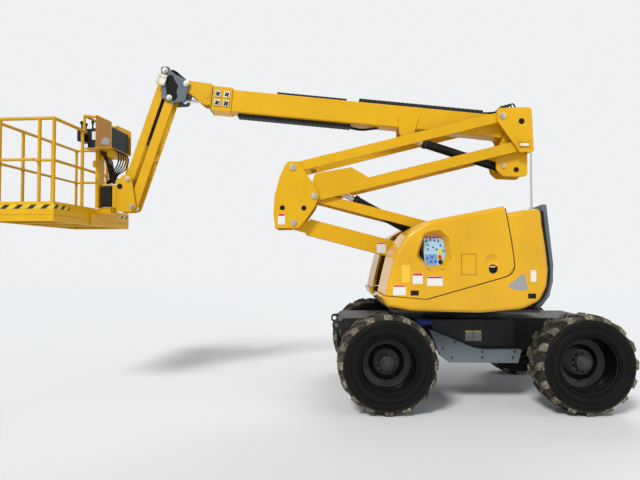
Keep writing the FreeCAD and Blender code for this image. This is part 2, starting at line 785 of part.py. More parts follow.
def cylinder_pair(foot, eye, barrel_r, rod_r, barrel_len, shrink, eye_radii, pin_radii, eye_half):
    """A hydraulic cylinder between two points in XZ: its barrel with the foot eye, its rod with the other.

    shrink is how much shorter the cylinder gets than it is parked.
    """
    foot_r, eye_r = eye_radii
    foot_pin_r, eye_pin_r = pin_radii
    fx, fz = foot
    gx, gz = eye
    length = hypot(gx - fx, gz - fz)
    way = V((gx - fx) / length, 0, (gz - fz) / length)
    base = V(fx, 0, fz)
    barrel = Part.makeCylinder(barrel_r, barrel_len - foot_r * 0.6, base + way * foot_r * 0.6, way)
    gland = Part.makeCylinder(barrel_r + 7, 50, base + way * (barrel_len - 50), way)
    foot_eye = rod_y(fx, fz, foot_r, -eye_half, eye_half)
    bore = Part.makeCylinder(rod_r + 0.06, barrel_len, base + way * (foot_r + 30), way)
    hole = rod_y(fx, fz, foot_pin_r + pin_gap, -eye_half - 40, eye_half + 40)
    barrel = fuse([barrel, gland, foot_eye]).cut(bore).cut(hole)
    rod_start = foot_r + 42 + shrink
    rod = Part.makeCylinder(rod_r, length - rod_start - eye_r * 0.5, base + way * rod_start, way)
    rod_eye = rod_y(gx, gz, eye_r, -eye_half, eye_half)
    rod = fuse([rod, rod_eye]).cut(rod_y(gx, gz, eye_pin_r, -eye_half - 1, eye_half + 1))
    return barrel, rod


lift_eye = on_boom(*boom_lug)
barrel, rod = cylinder_pair(lift_foot, lift_eye, 55, 32, 1010, 70, (52, 42), (pin_r, 28), 54)
save("lift_barrel", barrel)
save("lift_rod", rod)

lower_tilt = radians(lower_rise)
scissor_foot = (
    lower_pivot[0] - scissor_foot_s * cos(lower_tilt) + scissor_foot_t * sin(lower_tilt),
    lower_pivot[1] + scissor_foot_s * sin(lower_tilt) + scissor_foot_t * cos(lower_tilt),
)
scissor_top = plus(elbow_mid, scissor_eye)
barrel, rod = cylinder_pair(scissor_foot, scissor_top, 60, 36, 1300, 20, (52, 48), (pin_r, 30), 54)
save("scissor_barrel", barrel)
save("scissor_rod", rod)

# Jib head with the levelling cylinder
level_eye = plus((nose_x, nose_z), level_eye_place)
head_outline = [
    (nose_x - 170, nose_z + 133, 30),
    (nose_x - 31, nose_z + 62, 50),
    (nose_x + 40, nose_z - 6, 30),
    (nose_x + 6, nose_z - 120, 60),
    (nose_x - 20, nose_z - 222, 40),
    (nose_x - 195, nose_z - 232, 40),
    (nose_x - 310, nose_z - 180, 40),
    (nose_x - 320, nose_z + 214, 30),
    (nose_x - 225, nose_z + 214, 30),
]
head_in, head_out = inner_half + 6, inner_half + 26
jib_head_cheeks = both_sides([plate(head_outline, head_in, head_out)])
head_tie = box(nose_x - 150, nose_x - 105, -head_in - 1, head_in + 1, nose_z, nose_z + 60)
head_pins = [
    rod_y(jib_pin_upper[0], jib_pin_upper[1], 26, -head_out - 10, head_out + 10),
    rod_y(jib_pin_lower[0], jib_pin_lower[1], 26, -head_out - 10, head_out + 10),
]
head_solid = fuse(jib_head_cheeks + [head_tie] + head_pins)
head_solid = head_solid.cut(rod_y(nose_x, nose_z, pin_r + pin_gap, -300, 300))
save("jib_head", head_solid)
level_base = on_boom(*level_foot)
barrel, rod = cylinder_pair(level_base, level_eye, 34, 19, 560, 205, (34, 30), (20, 17), 36)
save("level_barrel", barrel)
save("level_rod", rod)

# Jib bars, drawn along -X from the head's pins
upper_jib_bars = both_sides([arm_bar(jib_len, 50, 50, 104, 52, 66)])
lower_jib_bars = both_sides([arm_bar(jib_len, 54, 54, 112, 72, 92)])
jib_hole_a = rod_y(0, 0, 26 + pin_gap, -200, 200)
jib_hole_b = rod_y(-jib_len, 0, 26 + pin_gap, -200, 200)
upper_jib = fuse(upper_jib_bars + [rod_y(-jib_len * 0.5, 25, 18, -53, 53)]).cut(jib_hole_a).cut(jib_hole_b)
lower_jib = fuse(lower_jib_bars + [rod_y(-jib_len * 0.55, -25, 18, -73, 73)]).cut(jib_hole_a).cut(jib_hole_b)
save("jib_upper", turn_y(upper_jib, -jib_fall, *jib_pin_upper))
save("jib_lower", turn_y(lower_jib, -jib_fall, *jib_pin_lower))
barrel, rod = cylinder_pair(jib_pin_upper, jib_end_lower, 40, 24, 940, 640, (44, 38), (26, 20), 44)
save("jib_barrel", barrel)
save("jib_rod", rod)

# Platform carrier at the jib's end, and its rotator
mx, mz = jib_end_lower
ux, uz = jib_end_upper
carrier_outline = [
    (ux + 40, uz + 50, 40),
    (mx + 52, mz - 20, 50),
    (mx - 20, mz - 62, 40),
    (rotator_x + 130, mz - 62),
    (rotator_x + 130, uz - 30),
    (ux - 60, uz + 50, 40),
]
carrier_cheeks = both_sides([plate(carrier_outline, 104, 120)])
carrier_pins = [rod_y(ux, uz, 26, -130, 130)] + both_sides([rod_y(mx, mz, 26, 70, 130)])
rot_low, rot_high = mz - 20, uz - 60
tower = Part.makeCylinder(95, rot_high - rot_low, V(rotator_x, 0, rot_low))
back_plate = box(rotator_x + 80, rotator_x + 150, -119, 119, rot_low + 10, rot_high - 10)
save("platform_carrier", fuse(carrier_cheeks + carrier_pins + [tower, back_plate]))

# Platform pieces are drawn square about the rotator, then turned by the platform's yaw


def yawed(shape):
    out = shape.copy()
    out.rotate(V(rotator_x, 0, 0), V(0, 0, 1), platform_yaw)
    return out


px1 = rotator_x - platform_gap
foot_top = platform_floor + foot_thick
px0 = px1 - platform_deep
py = platform_long / 2
deck = box(px0 + 12, px1 - 12, -py + 12, py - 12, platform_floor - 12, platform_floor)
frame_low = platform_floor - 80
edge = 40.0
rim_frame = box(px0, px1, -py, py, frame_low, platform_floor - 12).cut(
    box(px0 + edge, px1 - edge, -py + edge, py - edge, frame_low - 1, platform_floor))
beams = [box(px0 + 20, px1 - 20, y - 25, y + 25, frame_low + 8, platform_floor - 12) for y in (-330, 0, 330)]
toe = box(px0, px1, -py, py, toe_low, toe_high).cut(
    box(px0 + 4, px1 - 4, -py + 4, py - 4, toe_low - 1, toe_high + 1))
swivel_bracket = fuse([
    box(px1, rotator_x + 60, -90, 90, rot_low - 60, rot_low - seat_gap),
    Part.makeCylinder(90, 59.7, V(rotator_x, 0, rot_low - 60)),
    box(px1, px1 + 25, -160, 160, frame_low, rot_low - seat_gap),
])
save("platform_bracket", yawed(swivel_bracket))

post_rows = [
    (px1 - post_inset, -py + post_inset),
    (px1 - post_inset, -py / 3),
    (px1 - post_inset, py / 3),
    (px1 - post_inset, py - post_inset),
    (px0 + post_inset, py - post_inset),
    (px0 + post_inset, py / 3),
    (px0 + post_inset, -py / 3),
    (px0 + post_inset, -py + post_inset),
]
gate_a = px1 - 190
gate_b = px0 + 150
near_y, far_y = -py + post_inset, py - post_inset
post_rows += [(gate_a, near_y), (gate_b, near_y)]
# Each post stands on a foot pad, and the pads leave the deck's floor free between them
pads = [
    box(x - foot_half, x + foot_half, y - foot_half, y + foot_half, platform_floor - 12, foot_top)
    for x, y in post_rows]
inside = box(px0 + 2, px1 - 2, -py + 2, py - 2, platform_floor - 12, foot_top)
save("platform_deck", yawed(fuse([deck, rim_frame, toe] + beams + [pad.common(inside) for pad in pads])))
rails = [tube_between((x, y, foot_top), (x, y, rail_top), rail_r) for x, y in post_rows]
inner_x, outer_x = px1 - post_inset, px0 + post_inset
corners = [(inner_x, near_y), (inner_x, far_y), (outer_x, far_y), (outer_x, near_y)]
for (xa, ya), (xb, yb) in zip(corners, corners[1:] + corners[:1]):
    rails.append(tube_between((xa, ya, rail_top), (xb, yb, rail_top), rail_r))
for (xa, ya), (xb, yb) in zip(corners[:3], corners[1:]):
    rails.append(tube_between((xa, ya, rail_mid), (xb, yb, rail_mid), rail_r - 3))
rails.append(tube_between((inner_x, near_y, rail_mid), (gate_a, near_y, rail_mid), rail_r - 3))
for x, y in corners:
    rails.append(Part.makeSphere(rail_r, V(x, y, rail_top)))
hook_low = rail_mid - (rail_r - 3) - 0.3
rails.append(rod_y(gate_b, rail_mid, 8, -py - 42, -py + post_inset))
rails.append(box(gate_a - 14, gate_a + 14, -py - 40, -py + post_inset, hook_low - 8, hook_low))
rails.append(box(gate_a - 14, gate_a + 14, -py - 46, -py - 38, hook_low - 8, hook_low + 24))
# A loop over the console, the plates on both sides of it and the shelf that it stands on
loop_z = rail_top + 190
loop_half = 262.0
guard_x0, guard_x1 = px1 + 120, px1 + 318
shelf_z = rail_top - 200
guard_outline = [
    (guard_x0, shelf_z),
    (guard_x1, shelf_z),
    (guard_x1, loop_z - 80, 20),
    (guard_x0, loop_z + 12),
]
for y in (-loop_half, loop_half):
    rails.append(tube_between((inner_x, y, rail_top), (inner_x, y, loop_z), rail_r - 3))
    rails.append(Part.makeSphere(rail_r - 3, V(inner_x, y, loop_z)))
    rails.append(tube_between((inner_x, y, loop_z), (guard_x0 + 10, y, loop_z - 20), rail_r - 3))
    rails.append(plate(guard_outline, y - 4, y + 4))
rails.append(tube_between((inner_x, -loop_half, loop_z), (inner_x, loop_half, loop_z), rail_r - 3))
rails.append(box(inner_x, guard_x1, -loop_half, loop_half, shelf_z - 8, shelf_z))
save("guard_rails", yawed(fuse(rails)))

bar_y = -py - 20
bar_r = rail_r - 3
entry = fuse([
    tube_between((gate_a - 30, bar_y, rail_mid), (gate_b, bar_y, rail_mid), bar_r),
    rod_y(gate_b, rail_mid, bar_r + 6, bar_y - 14, bar_y + 14),
]).cut(rod_y(gate_b, rail_mid, 8 + pin_gap, bar_y - 30, bar_y + 30))
save("entry_bar", yawed(entry))

console_front = inner_x + rail_r + 6
console_outline = [
    (console_front, shelf_z + seat_gap),
    (guard_x1 - 20, shelf_z + seat_gap),
    (guard_x1 - 20, rail_top + 70, 20),
    (guard_x0, rail_top + 60, 60),
    (console_front, rail_top + 10, 20),
]
save("platform_console", yawed(plate(console_outline, -loop_half + 30, loop_half - 30)))

# Hood pods on both sides: a bent shell in front, below and behind, and the door that it frames


def soft_pod(outline, plain_edges):
    """A pod across its whole width, its outer edges rounded but those of the lines x or z given."""
    body = plate(outline, hood_in, hood_out)
    edges = []
    for edge in body.Edges:
        span = edge.BoundBox
        middle = edge.valueAt((edge.FirstParameter + edge.LastParameter) / 2)
        plain = any(abs(middle.x - x) < 1 or abs(middle.z - z) < 1 for x, z in plain_edges)
        if span.YMin > hood_out - 1 and not plain:
            edges.append(edge)
    return body.makeFillet(hood_edge_r, edges)


# The line that parts the door from the shell; the two outlines are one panel gap apart
door_region = [
    (600, 1263.5),
    (1296, 1203, 60),
    (2150, 1446, 80),
    (2212, 1540, 40),
    (2186, 1780, 300),
    (2100, 2270),
    (600, 2270),
]
shell_hole = [
    (600, 1256),
    (1296, 1195.5, 67),
    (2153, 1439.5, 87),
    (2219, 1538, 47),
    (2193, 1781, 306),
    (2106, 2280),
    (600, 2280),
]
door_pod = [
    (850, 1150),
    (905, 1400, 300),
    (975, 1680, 300),
    (1120, 1900, 250),
    (1330, 2022, 250),
    (2500, 2247.7),
    (2500, 1150),
]
door_room = [
    (881, 1100),
    (936, 1400, 270),
    (1003, 1664, 270),
    (1140, 1872, 220),
    (1337, 1992, 220),
    (2300, 2178),
    (2300, 1100),
]
shell_pod = [
    (905, 1400),
    (829, 1225, 60),
    (891, 1118, 60),
    (1143, 1074, 400),
    (1865, 1055, 800),
    (2300, 1094, 300),
    (2480, 1180, 120),
    (2556, 1330, 200),
    (2574, 1500, 300),
    (2550, 1740, 400),
    (2515, 1981, 400),
    (2503, 2150, 60),
    (2346, 2135, 400),
    (2126, 2097),
]
shell_room = [
    (890, 1000),
    (2240, 1000),
    (2262, 1121),
    (2370, 1143, 60),
    (2454, 1206, 60),
    (2521, 1332, 100),
    (2544, 1500, 200),
    (2520, 1738, 200),
    (2485, 1980, 200),
    (2474, 2113),
    (2346, 2103),
    (2000, 2042),
    (2000, 1600),
    (890, 1600),
]
recess = [
    (1190, 1650, 60),
    (1274, 1895, 60),
    (1440, 1926, 60),
    (1530, 1840, 60),
    (1555, 1629, 60),
    (1482, 1500, 60),
    (1315, 1500, 60),
]
grip_r = 48.0
grip = rod_y(1992, 1514, grip_r, hood_in, hood_out + 1)
grip_scoop = Part.makeSphere(105, V(1978, hood_out + 77, 1598))

room_end = hood_out - hood_skin
door = soft_pod(door_pod, [(2500, 1150)]).common(plate(door_region, hood_in - 1, hood_out + 1))
door = door.cut(plate(door_room, hood_in - 2, room_end)).cut(grip_scoop).cut(grip)
hinge_eyes = [
    hinge_piece(a, b, 17).cut(hinge_piece(a - 1, b + 1, 8 + pin_gap)) for a, b in ((-300, -220), (220, 300))
]
door = fuse([door.cut(hinge_piece(-400, 400, 14))] + hinge_eyes)
near_door = mirror_y(door).cut(plate(recess, -hood_out - 1, -hood_out + hood_skin + 1))
save("hood_door_near", near_door)
save("hood_door_far", door)

# The shell's closing line runs through the door's place, so its edge stays plain
chord = ((905 + 2126) / 2, (1400 + 2097) / 2)
pod = soft_pod(shell_pod, [chord])
hood = pod.cut(plate(shell_hole, hood_in - 1, hood_out + 1)).cut(plate(shell_room, hood_in - 2, room_end))
save("hood_shells", Part.makeCompound([hood, mirror_y(hood)]))

# Counterweight: its back and its front are turned about upright lines, so both are bowed
back_curve = [
    (2562, 2195),
    (2594, 1870),
    (2622, 1560),
    (2616, 1380),
    (2580, 1225),
    (2500, 1112),
]
front_curve = [
    (2512, 2200),
    (2526, 1985),
    (2560, 1745),
    (2584, 1500),
    (2566, 1325),
    (2500, 1190),
    (2440, 1108),
]


def bowed(curve, bow):
    """The body in front of a curve in XZ, which stands at weight_half and bows out by bow at the middle."""
    r = (weight_half ** 2 + bow ** 2) / (2 * bow)
    x = curve[0][0] + bow - r
    points = [V(q + bow, 0, z) for q, z in curve]
    points = points + [V(1900, 0, curve[-1][1]), V(1900, 0, curve[0][1])]
    half_angle = degrees(atan2(weight_half + 60, r))
    face = Part.Face(Part.makePolygon(points + points[:1]))
    face.rotate(V(x, 0, 0), V(0, 0, 1), -half_angle)
    return face.revolve(V(x, 0, 0), V(0, 0, 1), 2 * half_angle)


weight_box = box(2300, 3000, -weight_half, weight_half, 1100, 2195)
weight = bowed(back_curve, weight_bow_back).common(weight_box).cut(bowed(front_curve, weight_bow_front))
weight = weight.cut(box(2300, tower_back + 6, -cheek_out - 14, cheek_out + 14, 1000, link_pivot[1] + 120))
foot_half = cheek_out - 6
weight_foot = box(tower_back + 8, weight_foot_x - 4, -foot_half, foot_half, floor_top + seat_gap, 1140)
save("counterweight", fuse([weight, weight_foot]))

# Machinery inside the pods, the ground controls and the mast
save("engine_block", box(1350, 2050, 470, 930, floor_top, 1740))
save("fluid_tank", box(1400, 2050, -900, -460, floor_top, 1440))
control_back = hood_out - 90
panel = box(1270, 1480, -control_back, -control_back + 60, 1560, 1880)
panel_leg = box(1330, 1420, -control_back + 59, -control_back + 100, floor_top, 1700)
save("ground_controls", fuse([panel, panel_leg]))
mast_x, mast_r = 2440.0, 7.0
(roof_x1, roof_z1), (roof_x0, roof_z0) = shell_pod[-3][:2], shell_pod[-2][:2]
mast_foot = roof_z0 + (mast_x + mast_r - roof_x0) * (roof_z1 - roof_z0) / (roof_x1 - roof_x0) + seat_gap
save("antenna_mast", Part.makeCylinder(mast_r, 610, V(mast_x, -980, mast_foot)))
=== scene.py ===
import json
from math import atan2, cos, pi, radians, sin

import bmesh
import bpy
from bpy.props import FloatProperty, FloatVectorProperty, IntProperty, PointerProperty
from mathutils import Matrix, Vector
from mathutils.bvhtree import BVHTree

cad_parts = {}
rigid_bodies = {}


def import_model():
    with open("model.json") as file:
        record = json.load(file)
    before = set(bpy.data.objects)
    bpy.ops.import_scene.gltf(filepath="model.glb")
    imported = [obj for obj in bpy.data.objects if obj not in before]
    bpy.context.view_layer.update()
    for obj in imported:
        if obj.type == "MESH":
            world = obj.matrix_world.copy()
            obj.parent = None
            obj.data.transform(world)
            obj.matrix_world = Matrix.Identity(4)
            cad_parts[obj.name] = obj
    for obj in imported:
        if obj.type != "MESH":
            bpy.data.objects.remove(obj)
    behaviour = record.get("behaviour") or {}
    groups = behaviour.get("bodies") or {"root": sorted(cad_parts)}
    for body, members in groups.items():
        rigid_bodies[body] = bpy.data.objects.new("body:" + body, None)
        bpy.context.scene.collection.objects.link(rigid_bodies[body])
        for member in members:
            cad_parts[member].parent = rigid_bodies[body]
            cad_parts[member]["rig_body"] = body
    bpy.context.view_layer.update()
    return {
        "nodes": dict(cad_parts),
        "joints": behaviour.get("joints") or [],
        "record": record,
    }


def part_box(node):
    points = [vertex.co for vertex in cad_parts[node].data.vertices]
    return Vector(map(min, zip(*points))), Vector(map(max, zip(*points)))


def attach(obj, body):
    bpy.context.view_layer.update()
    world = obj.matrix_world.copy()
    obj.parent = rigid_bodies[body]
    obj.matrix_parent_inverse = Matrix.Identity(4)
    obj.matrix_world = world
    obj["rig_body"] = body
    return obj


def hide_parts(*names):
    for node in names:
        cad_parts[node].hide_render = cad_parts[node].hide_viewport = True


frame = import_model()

bl_info = {
    "name": "Articulating boom lift",
    "version": (1, 0, 0),
    "blender": (4, 5, 0),
    "location": "View3D > Sidebar > Boom lift",
    "description": "Dresses the boom lift's frame with detailed pieces, finishes, floor and lights",
    "category": "Object",
}

# All lengths below are millimetres; MM turns them into Blender's metres.
MM = 0.001
SIDES = (-1, 1)
JOINTS = {joint["name"]: joint for joint in frame["joints"]}
NODES = frame["nodes"]
SLOT_OF = {row["node"]: row.get("material_slot") for row in frame["record"]["subparts"]}
FINISHES = {}


# Places


def pin_of(joint):
    """Where a joint's axis stands at rest, in millimetres."""
    return Vector(JOINTS[joint]["pos_m"]) / MM


def mid_pin(joint):
    """The same point, moved into the middle plane."""
    spot = pin_of(joint)
    return Vector((spot.x, 0, spot.z))


def corners(node):
    """The low and the high corner of a node's box."""
    return [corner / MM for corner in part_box(node)]


def near_face(node):
    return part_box(node)[0].y / MM


def along(start, end):
    """The placing of a bar from start to end: X runs along it and Z is the side that faces up."""
    way = (end - start).normalized()
    side = Vector((0, -1, 0)) if way.x < 0 else Vector((0, 1, 0))
    up = way.cross(side)
    turn = Matrix((way, side, up)).transposed().to_4x4()
    return Matrix.Translation(start * MM) @ turn


def slide_place(foot, slide):
    """The placing of a bar that starts at one joint's pin and runs along a sliding joint."""
    start = mid_pin(foot)
    return along(start, start + Vector(JOINTS[slide]["axis"]).normalized() * 100)


def platform_place():
    """The platform's own square frame: its origin on the rotator's axis, X away from the platform."""
    bar = Vector(JOINTS["entry_bar_pin"]["axis"])
    turned = Matrix.Rotation(atan2(bar.x, -bar.y), 4, "Z")
    return Matrix.Translation(Vector((pin_of("platform_turn").x, 0, 0)) * MM) @ turned


def around(centre, radius, depth, turn):
    """A point beside a wheel's centre, at a radius and an angle in the wheel's plane."""
    return centre + Vector((radius * cos(turn), depth, radius * sin(turn)))


def spread(start, step, count):
    return [start + step * i for i in range(count)]


# Forms


def bevel(bm, geom, width, segments=2, affect="EDGES", clamp=True):
    return bmesh.ops.bevel(
        bm, geom=list(geom), offset=width * MM, offset_type="OFFSET", segments=segments, profile=0.5,
        affect=affect, clamp_overlap=clamp, material=-1)


def edges_of(verts):
    return {edge for vert in verts for edge in vert.link_edges}


def only(made, kind):
    return [item for item in made["geom"] if isinstance(item, kind)]


class Shape:
    """A piece in the making: its solids are given in millimetres, in a place of its own."""

    def __init__(self, place=Matrix()):
        self.bm = bmesh.new()
        self.place = place

    def block(self, low, high, edge=2.0, segments=2):
        """A block between two corners, with rounded edges."""
        low, high = Vector(low) * MM, Vector(high) * MM
        spot = Matrix.Translation((low + high) / 2) @ Matrix.Diagonal((*(high - low), 1.0))
        made = bmesh.ops.create_cube(self.bm, size=1.0, matrix=self.place @ spot)
        if edge > 0:
            bevel(self.bm, edges_of(made["verts"]), edge, segments)

    def rod(self, start, end, radius, far_radius=None, sides=24, edge=0.0):
        """A round rod or a cone between two points; edge rounds the rims of its ends."""
        start, end = Vector(start) * MM, Vector(end) * MM
        way = end - start
        spot = Matrix.Translation((start + end) / 2) @ way.to_track_quat("Z", "Y").to_matrix().to_4x4()
        far = radius if far_radius is None else far_radius
        made = bmesh.ops.create_cone(
            self.bm, cap_ends=True, segments=sides, radius1=radius * MM, radius2=far * MM,
            depth=way.length, matrix=self.place @ spot)
        if edge > 0:
            found = edges_of(made["verts"])
            bevel(self.bm, [e for e in found if any(len(f.verts) == sides for f in e.link_faces)], edge)

    def hexagon(self, start, end, radius):
        self.rod(start, end, radius, sides=6, edge=min(1.5, radius * 0.12))

    def ball(self, centre, radius):
        bmesh.ops.create_uvsphere(
            self.bm, u_segments=20, v_segments=12, radius=radius * MM,
            matrix=self.place @ Matrix.Translation(Vector(centre) * MM))

    def plate(self, outline, y0, y1, edge=0.0, corner=0.0):
        """A flat plate with its outline in XZ, between two depths; corner rounds the outline."""
        verts = [self.bm.verts.new(self.place @ (Vector((x, y0, z)) * MM)) for x, z in outline]
        face = self.bm.faces.new(verts)
        if corner > 0:
            made = bevel(self.bm, verts, corner, 4, "VERTICES")
            face = max({f for v in made["verts"] for f in v.link_faces}, key=lambda f: f.calc_area())
        made = bmesh.ops.extrude_face_region(self.bm, geom=[face])
        shift = self.place.to_3x3() @ (Vector((0, y1 - y0, 0)) * MM)
        bmesh.ops.translate(self.bm, verts=only(made, bmesh.types.BMVert), vec=shift)
        if edge > 0:
            top = only(made, bmesh.types.BMFace)[0]
            bevel(self.bm, list(top.edges) + list(face.edges if face.is_valid else []), edge)

    def turned(self, rows, centre, side=-1, steps=96):
        """A body turned about an axle along Y, from rows of radius and distance outwards on its side."""
        centre = Vector(centre) * MM
        verts = [self.bm.verts.new(centre + Vector((r, side * out, 0)) * MM) for r, out in rows]
        edges = [self.bm.edges.new(pair) for pair in zip(verts, verts[1:])]
        bmesh.ops.spin(
            self.bm, geom=verts + edges, cent=centre, axis=(0, 1, 0), angle=2 * pi, steps=steps,
            use_merge=True)

    def done(self, name, finish, body, slot, replaced=(), angle=38):
        """Ends the piece: it becomes an object that rides on a body of the frame."""
        bmesh.ops.remove_doubles(self.bm, verts=self.bm.verts, dist=1e-6)
        bmesh.ops.recalc_face_normals(self.bm, faces=self.bm.faces)
        return new_object(self.bm, name, finish, body, replaced, angle)


def link(obj, finish, body, replaced=()):
    """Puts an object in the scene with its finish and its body."""
    bpy.context.scene.collection.objects.link(obj)
    obj.data.materials.clear()
    obj.data.materials.append(FINISHES[finish])
    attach(obj, body)
    if replaced:
        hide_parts(*replaced)


def new_object(bm, name, finish, body, replaced=(), angle=38):
    """Turns a finished bmesh into an object with smooth shading and sharp edges."""
    mesh = bpy.data.meshes.new(name)
    bm.to_mesh(mesh)
    bm.free()
    obj = bpy.data.objects.new(name, mesh)
    link(obj, finish, body, replaced)
    mesh.shade_smooth()
    mesh.set_sharp_from_angle(angle=radians(angle))
    even = obj.modifiers.new("even_shading", "WEIGHTED_NORMAL")
    even.keep_sharp = True
    even.weight = 80
    return obj


def hoses(name, lines, radius, body, place=Matrix()):
    """Short hoses, or dark strips of painted shade in gaps, each held at both ends on its own smooth line."""
    curve = bpy.data.curves.new(name, "CURVE")
    curve.dimensions = "3D"
    curve.bevel_depth = radius * MM
    curve.bevel_resolution = 3
    curve.resolution_u = 6
    curve.use_fill_caps = True
    for points in lines:
        spline = curve.splines.new("NURBS")
        spline.points.add(len(points) - 1)
        for spot, point in zip(spline.points, points):
            spot.co = (*(place @ (Vector(point) * MM)), 1.0)
        spline.use_endpoint_u = True
        spline.order_u = min(4, len(points))
    link(bpy.data.objects.new(name, curve), "hose_rubber_and_gap_shade", body)


def soft_copy(node, finish, width):
    """A node's own form with rounded edges that are marked for wear; it stands for the node."""
    bm = bmesh.new()
    bm.from_mesh(NODES[node].data)
    wear = bm.faces.layers.float.new("wear")
    bmesh.ops.remove_doubles(bm, verts=bm.verts, dist=2e-5)
    bmesh.ops.dissolve_limit(bm, angle_limit=radians(1.0), verts=bm.verts, edges=bm.edges)
    before = BVHTree.FromBMesh(bm)
    sharp = [e for e in bm.edges if len(e.link_faces) == 2 and e.calc_face_angle(0.0) > radians(42)]
    for face in bevel(bm, sharp, width, clamp=False)["faces"]:
        face[wear] = 1.0
    # A rounded edge that grew out of a narrow face goes back to the old surface
    for vert in bm.verts:
        near, _, _, gap = before.find_nearest(vert.co)
        if gap > width * MM:
            vert.co = near
    new_object(bm, node + "_soft", finish, NODES[node]["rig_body"], (node,))


def soft_copies(finish, width, *nodes):
    for node in nodes:
        soft_copy(node, finish, width)


def flat_piece(name, outline, spans, finish, body, slot, corner=0.0, place=Matrix()):
    """A piece of thin plates with one outline, each between two depths."""
    shape = Shape(place)
    for y0, y1 in spans:
        shape.plate(outline, y0, y1, corner=corner)
    shape.done(name, finish, body, slot)


def rectangle(x0, x1, z0, z1):
    return [(x0, z0), (x1, z0), (x1, z1), (x0, z1)]


def labels(name, rows, finish, body, slot, y, depth=1.2):
    """Blank plates on a near face. Rows are x, z of the middle, width and height."""
    shape = Shape()
    for x, z, wide, high in rows:
        outline = rectangle(x - wide / 2, x + wide / 2, z - high / 2, z + high / 2)
        shape.plate(outline, y, y - depth, corner=min(5.0, high / 3))
    shape.done(name, finish, body, slot)


def banded_labels(name, rows, body, slot, y, finish="label_white", band="label_red", margin=6):
    """Blank plates with a coloured band. Rows go on with z and height of the band."""
    many = "s" if len(rows) > 1 else ""
    labels(name + many, [row[:4] for row in rows], finish, body, slot, y)
    bands = [(x, band_z, wide - margin, band_high) for x, _, wide, _, band_z, band_high in rows]
    labels(name + "_head" + many, bands, band, body, slot, y - 1.2, 0.3)


# Finishes


class Graph:
    """A shader tree, with short ways to add nodes to it."""

    def __init__(self, tree):
        self.tree = tree

    def fill(self, node, sockets):
        """Gives a node's inputs their values or links."""
        for key, value in dict(sockets).items():
            if isinstance(value, bpy.types.NodeSocket):
                self.tree.links.new(value, node.inputs[key])
            else:
                node.inputs[key].default_value = value

    def add(self, kind, sockets=(), **settings):
        """A new node with its options set and its inputs filled."""
        node = self.tree.nodes.new("ShaderNode" + kind)
        for key, value in settings.items():
            setattr(node, key, value)
        self.fill(node, sockets)
        return node

    def maths(self, operation, a, b=0.0, clamp=False):
        return self.add("Math", {0: a, 1: b}, operation=operation, use_clamp=clamp).outputs[0]

    def plus(self, a, b, clamp=False):
        return self.maths("ADD", a, b, clamp)

    def times(self, a, b, clamp=False):
        return self.maths("MULTIPLY", a, b, clamp)

    def mix(self, factor, a, b):
        return self.add("Mix", {0: factor, 6: a, 7: b}, data_type="RGBA", blend_type="MIX").outputs[2]

    def ramp(self, value, low, high, to_low=0.0, to_high=1.0, kind="SMOOTHSTEP"):
        sockets = {"Value": value, "From Min": low, "From Max": high, "To Min": to_low, "To Max": to_high}
        return self.add("MapRange", sockets, interpolation_type=kind).outputs[0]

    def noise(self, place, scale, detail=4.0, rough=0.55):
        sockets = {"Vector": place, "Scale": scale, "Detail": detail, "Roughness": rough}
        return self.add("TexNoise", sockets).outputs["Fac"]

    def place(self):
        return self.add("TexCoord").outputs["Object"]

    def parts(self, vector):
        return self.add("SeparateXYZ", {0: vector}).outputs

    def attribute(self, name):
        return self.add("Attribute", attribute_name=name).outputs["Fac"]


class Finish(Graph):
    """A new material, built round its own shader."""

    def __init__(self, name):
        self.material = bpy.data.materials.new(name)
        self.material.use_nodes = True
        super().__init__(self.material.node_tree)
        self.shader = self.tree.nodes["Principled BSDF"]
        FINISHES[name] = self.material

    def surface(self, sockets, relief=None):
        """Fills the shader's sockets; relief gives a height, its strength and its distance."""
        if relief:
            bump = self.add("Bump", zip(("Height", "Strength", "Distance"), relief))
            sockets["Normal"] = bump.outputs[0]
        self.fill(self.shader, sockets)


def linear(colour):
    """A screen colour, on the shader's own scale."""
    return tuple(c / 12.92 if c <= 0.04045 else ((c + 0.055) / 1.055) ** 2.4 for c in colour) + (1.0,)


WHITE = (1, 1, 1, 1)
BLACK = (0, 0, 0, 1)
# Columns: name, socket type, default
WEATHERING_INPUTS = (
    ("Colour", "NodeSocketColor", WHITE), ("Worn colour", "NodeSocketColor", BLACK),
    ("Dust colour", "NodeSocketColor", WHITE), ("Tone change", "NodeSocketFloat", 0.1),
    ("Wear", "NodeSocketFloat", 0.5), ("Dust", "NodeSocketFloat", 0.3),
    ("Dust height", "NodeSocketFloat", 1.0),
)
WEATHERING_OUTPUTS = (
    ("Colour", "NodeSocketColor"), ("Gloss loss", "NodeSocketFloat"), ("Height", "NodeSocketFloat"),
)


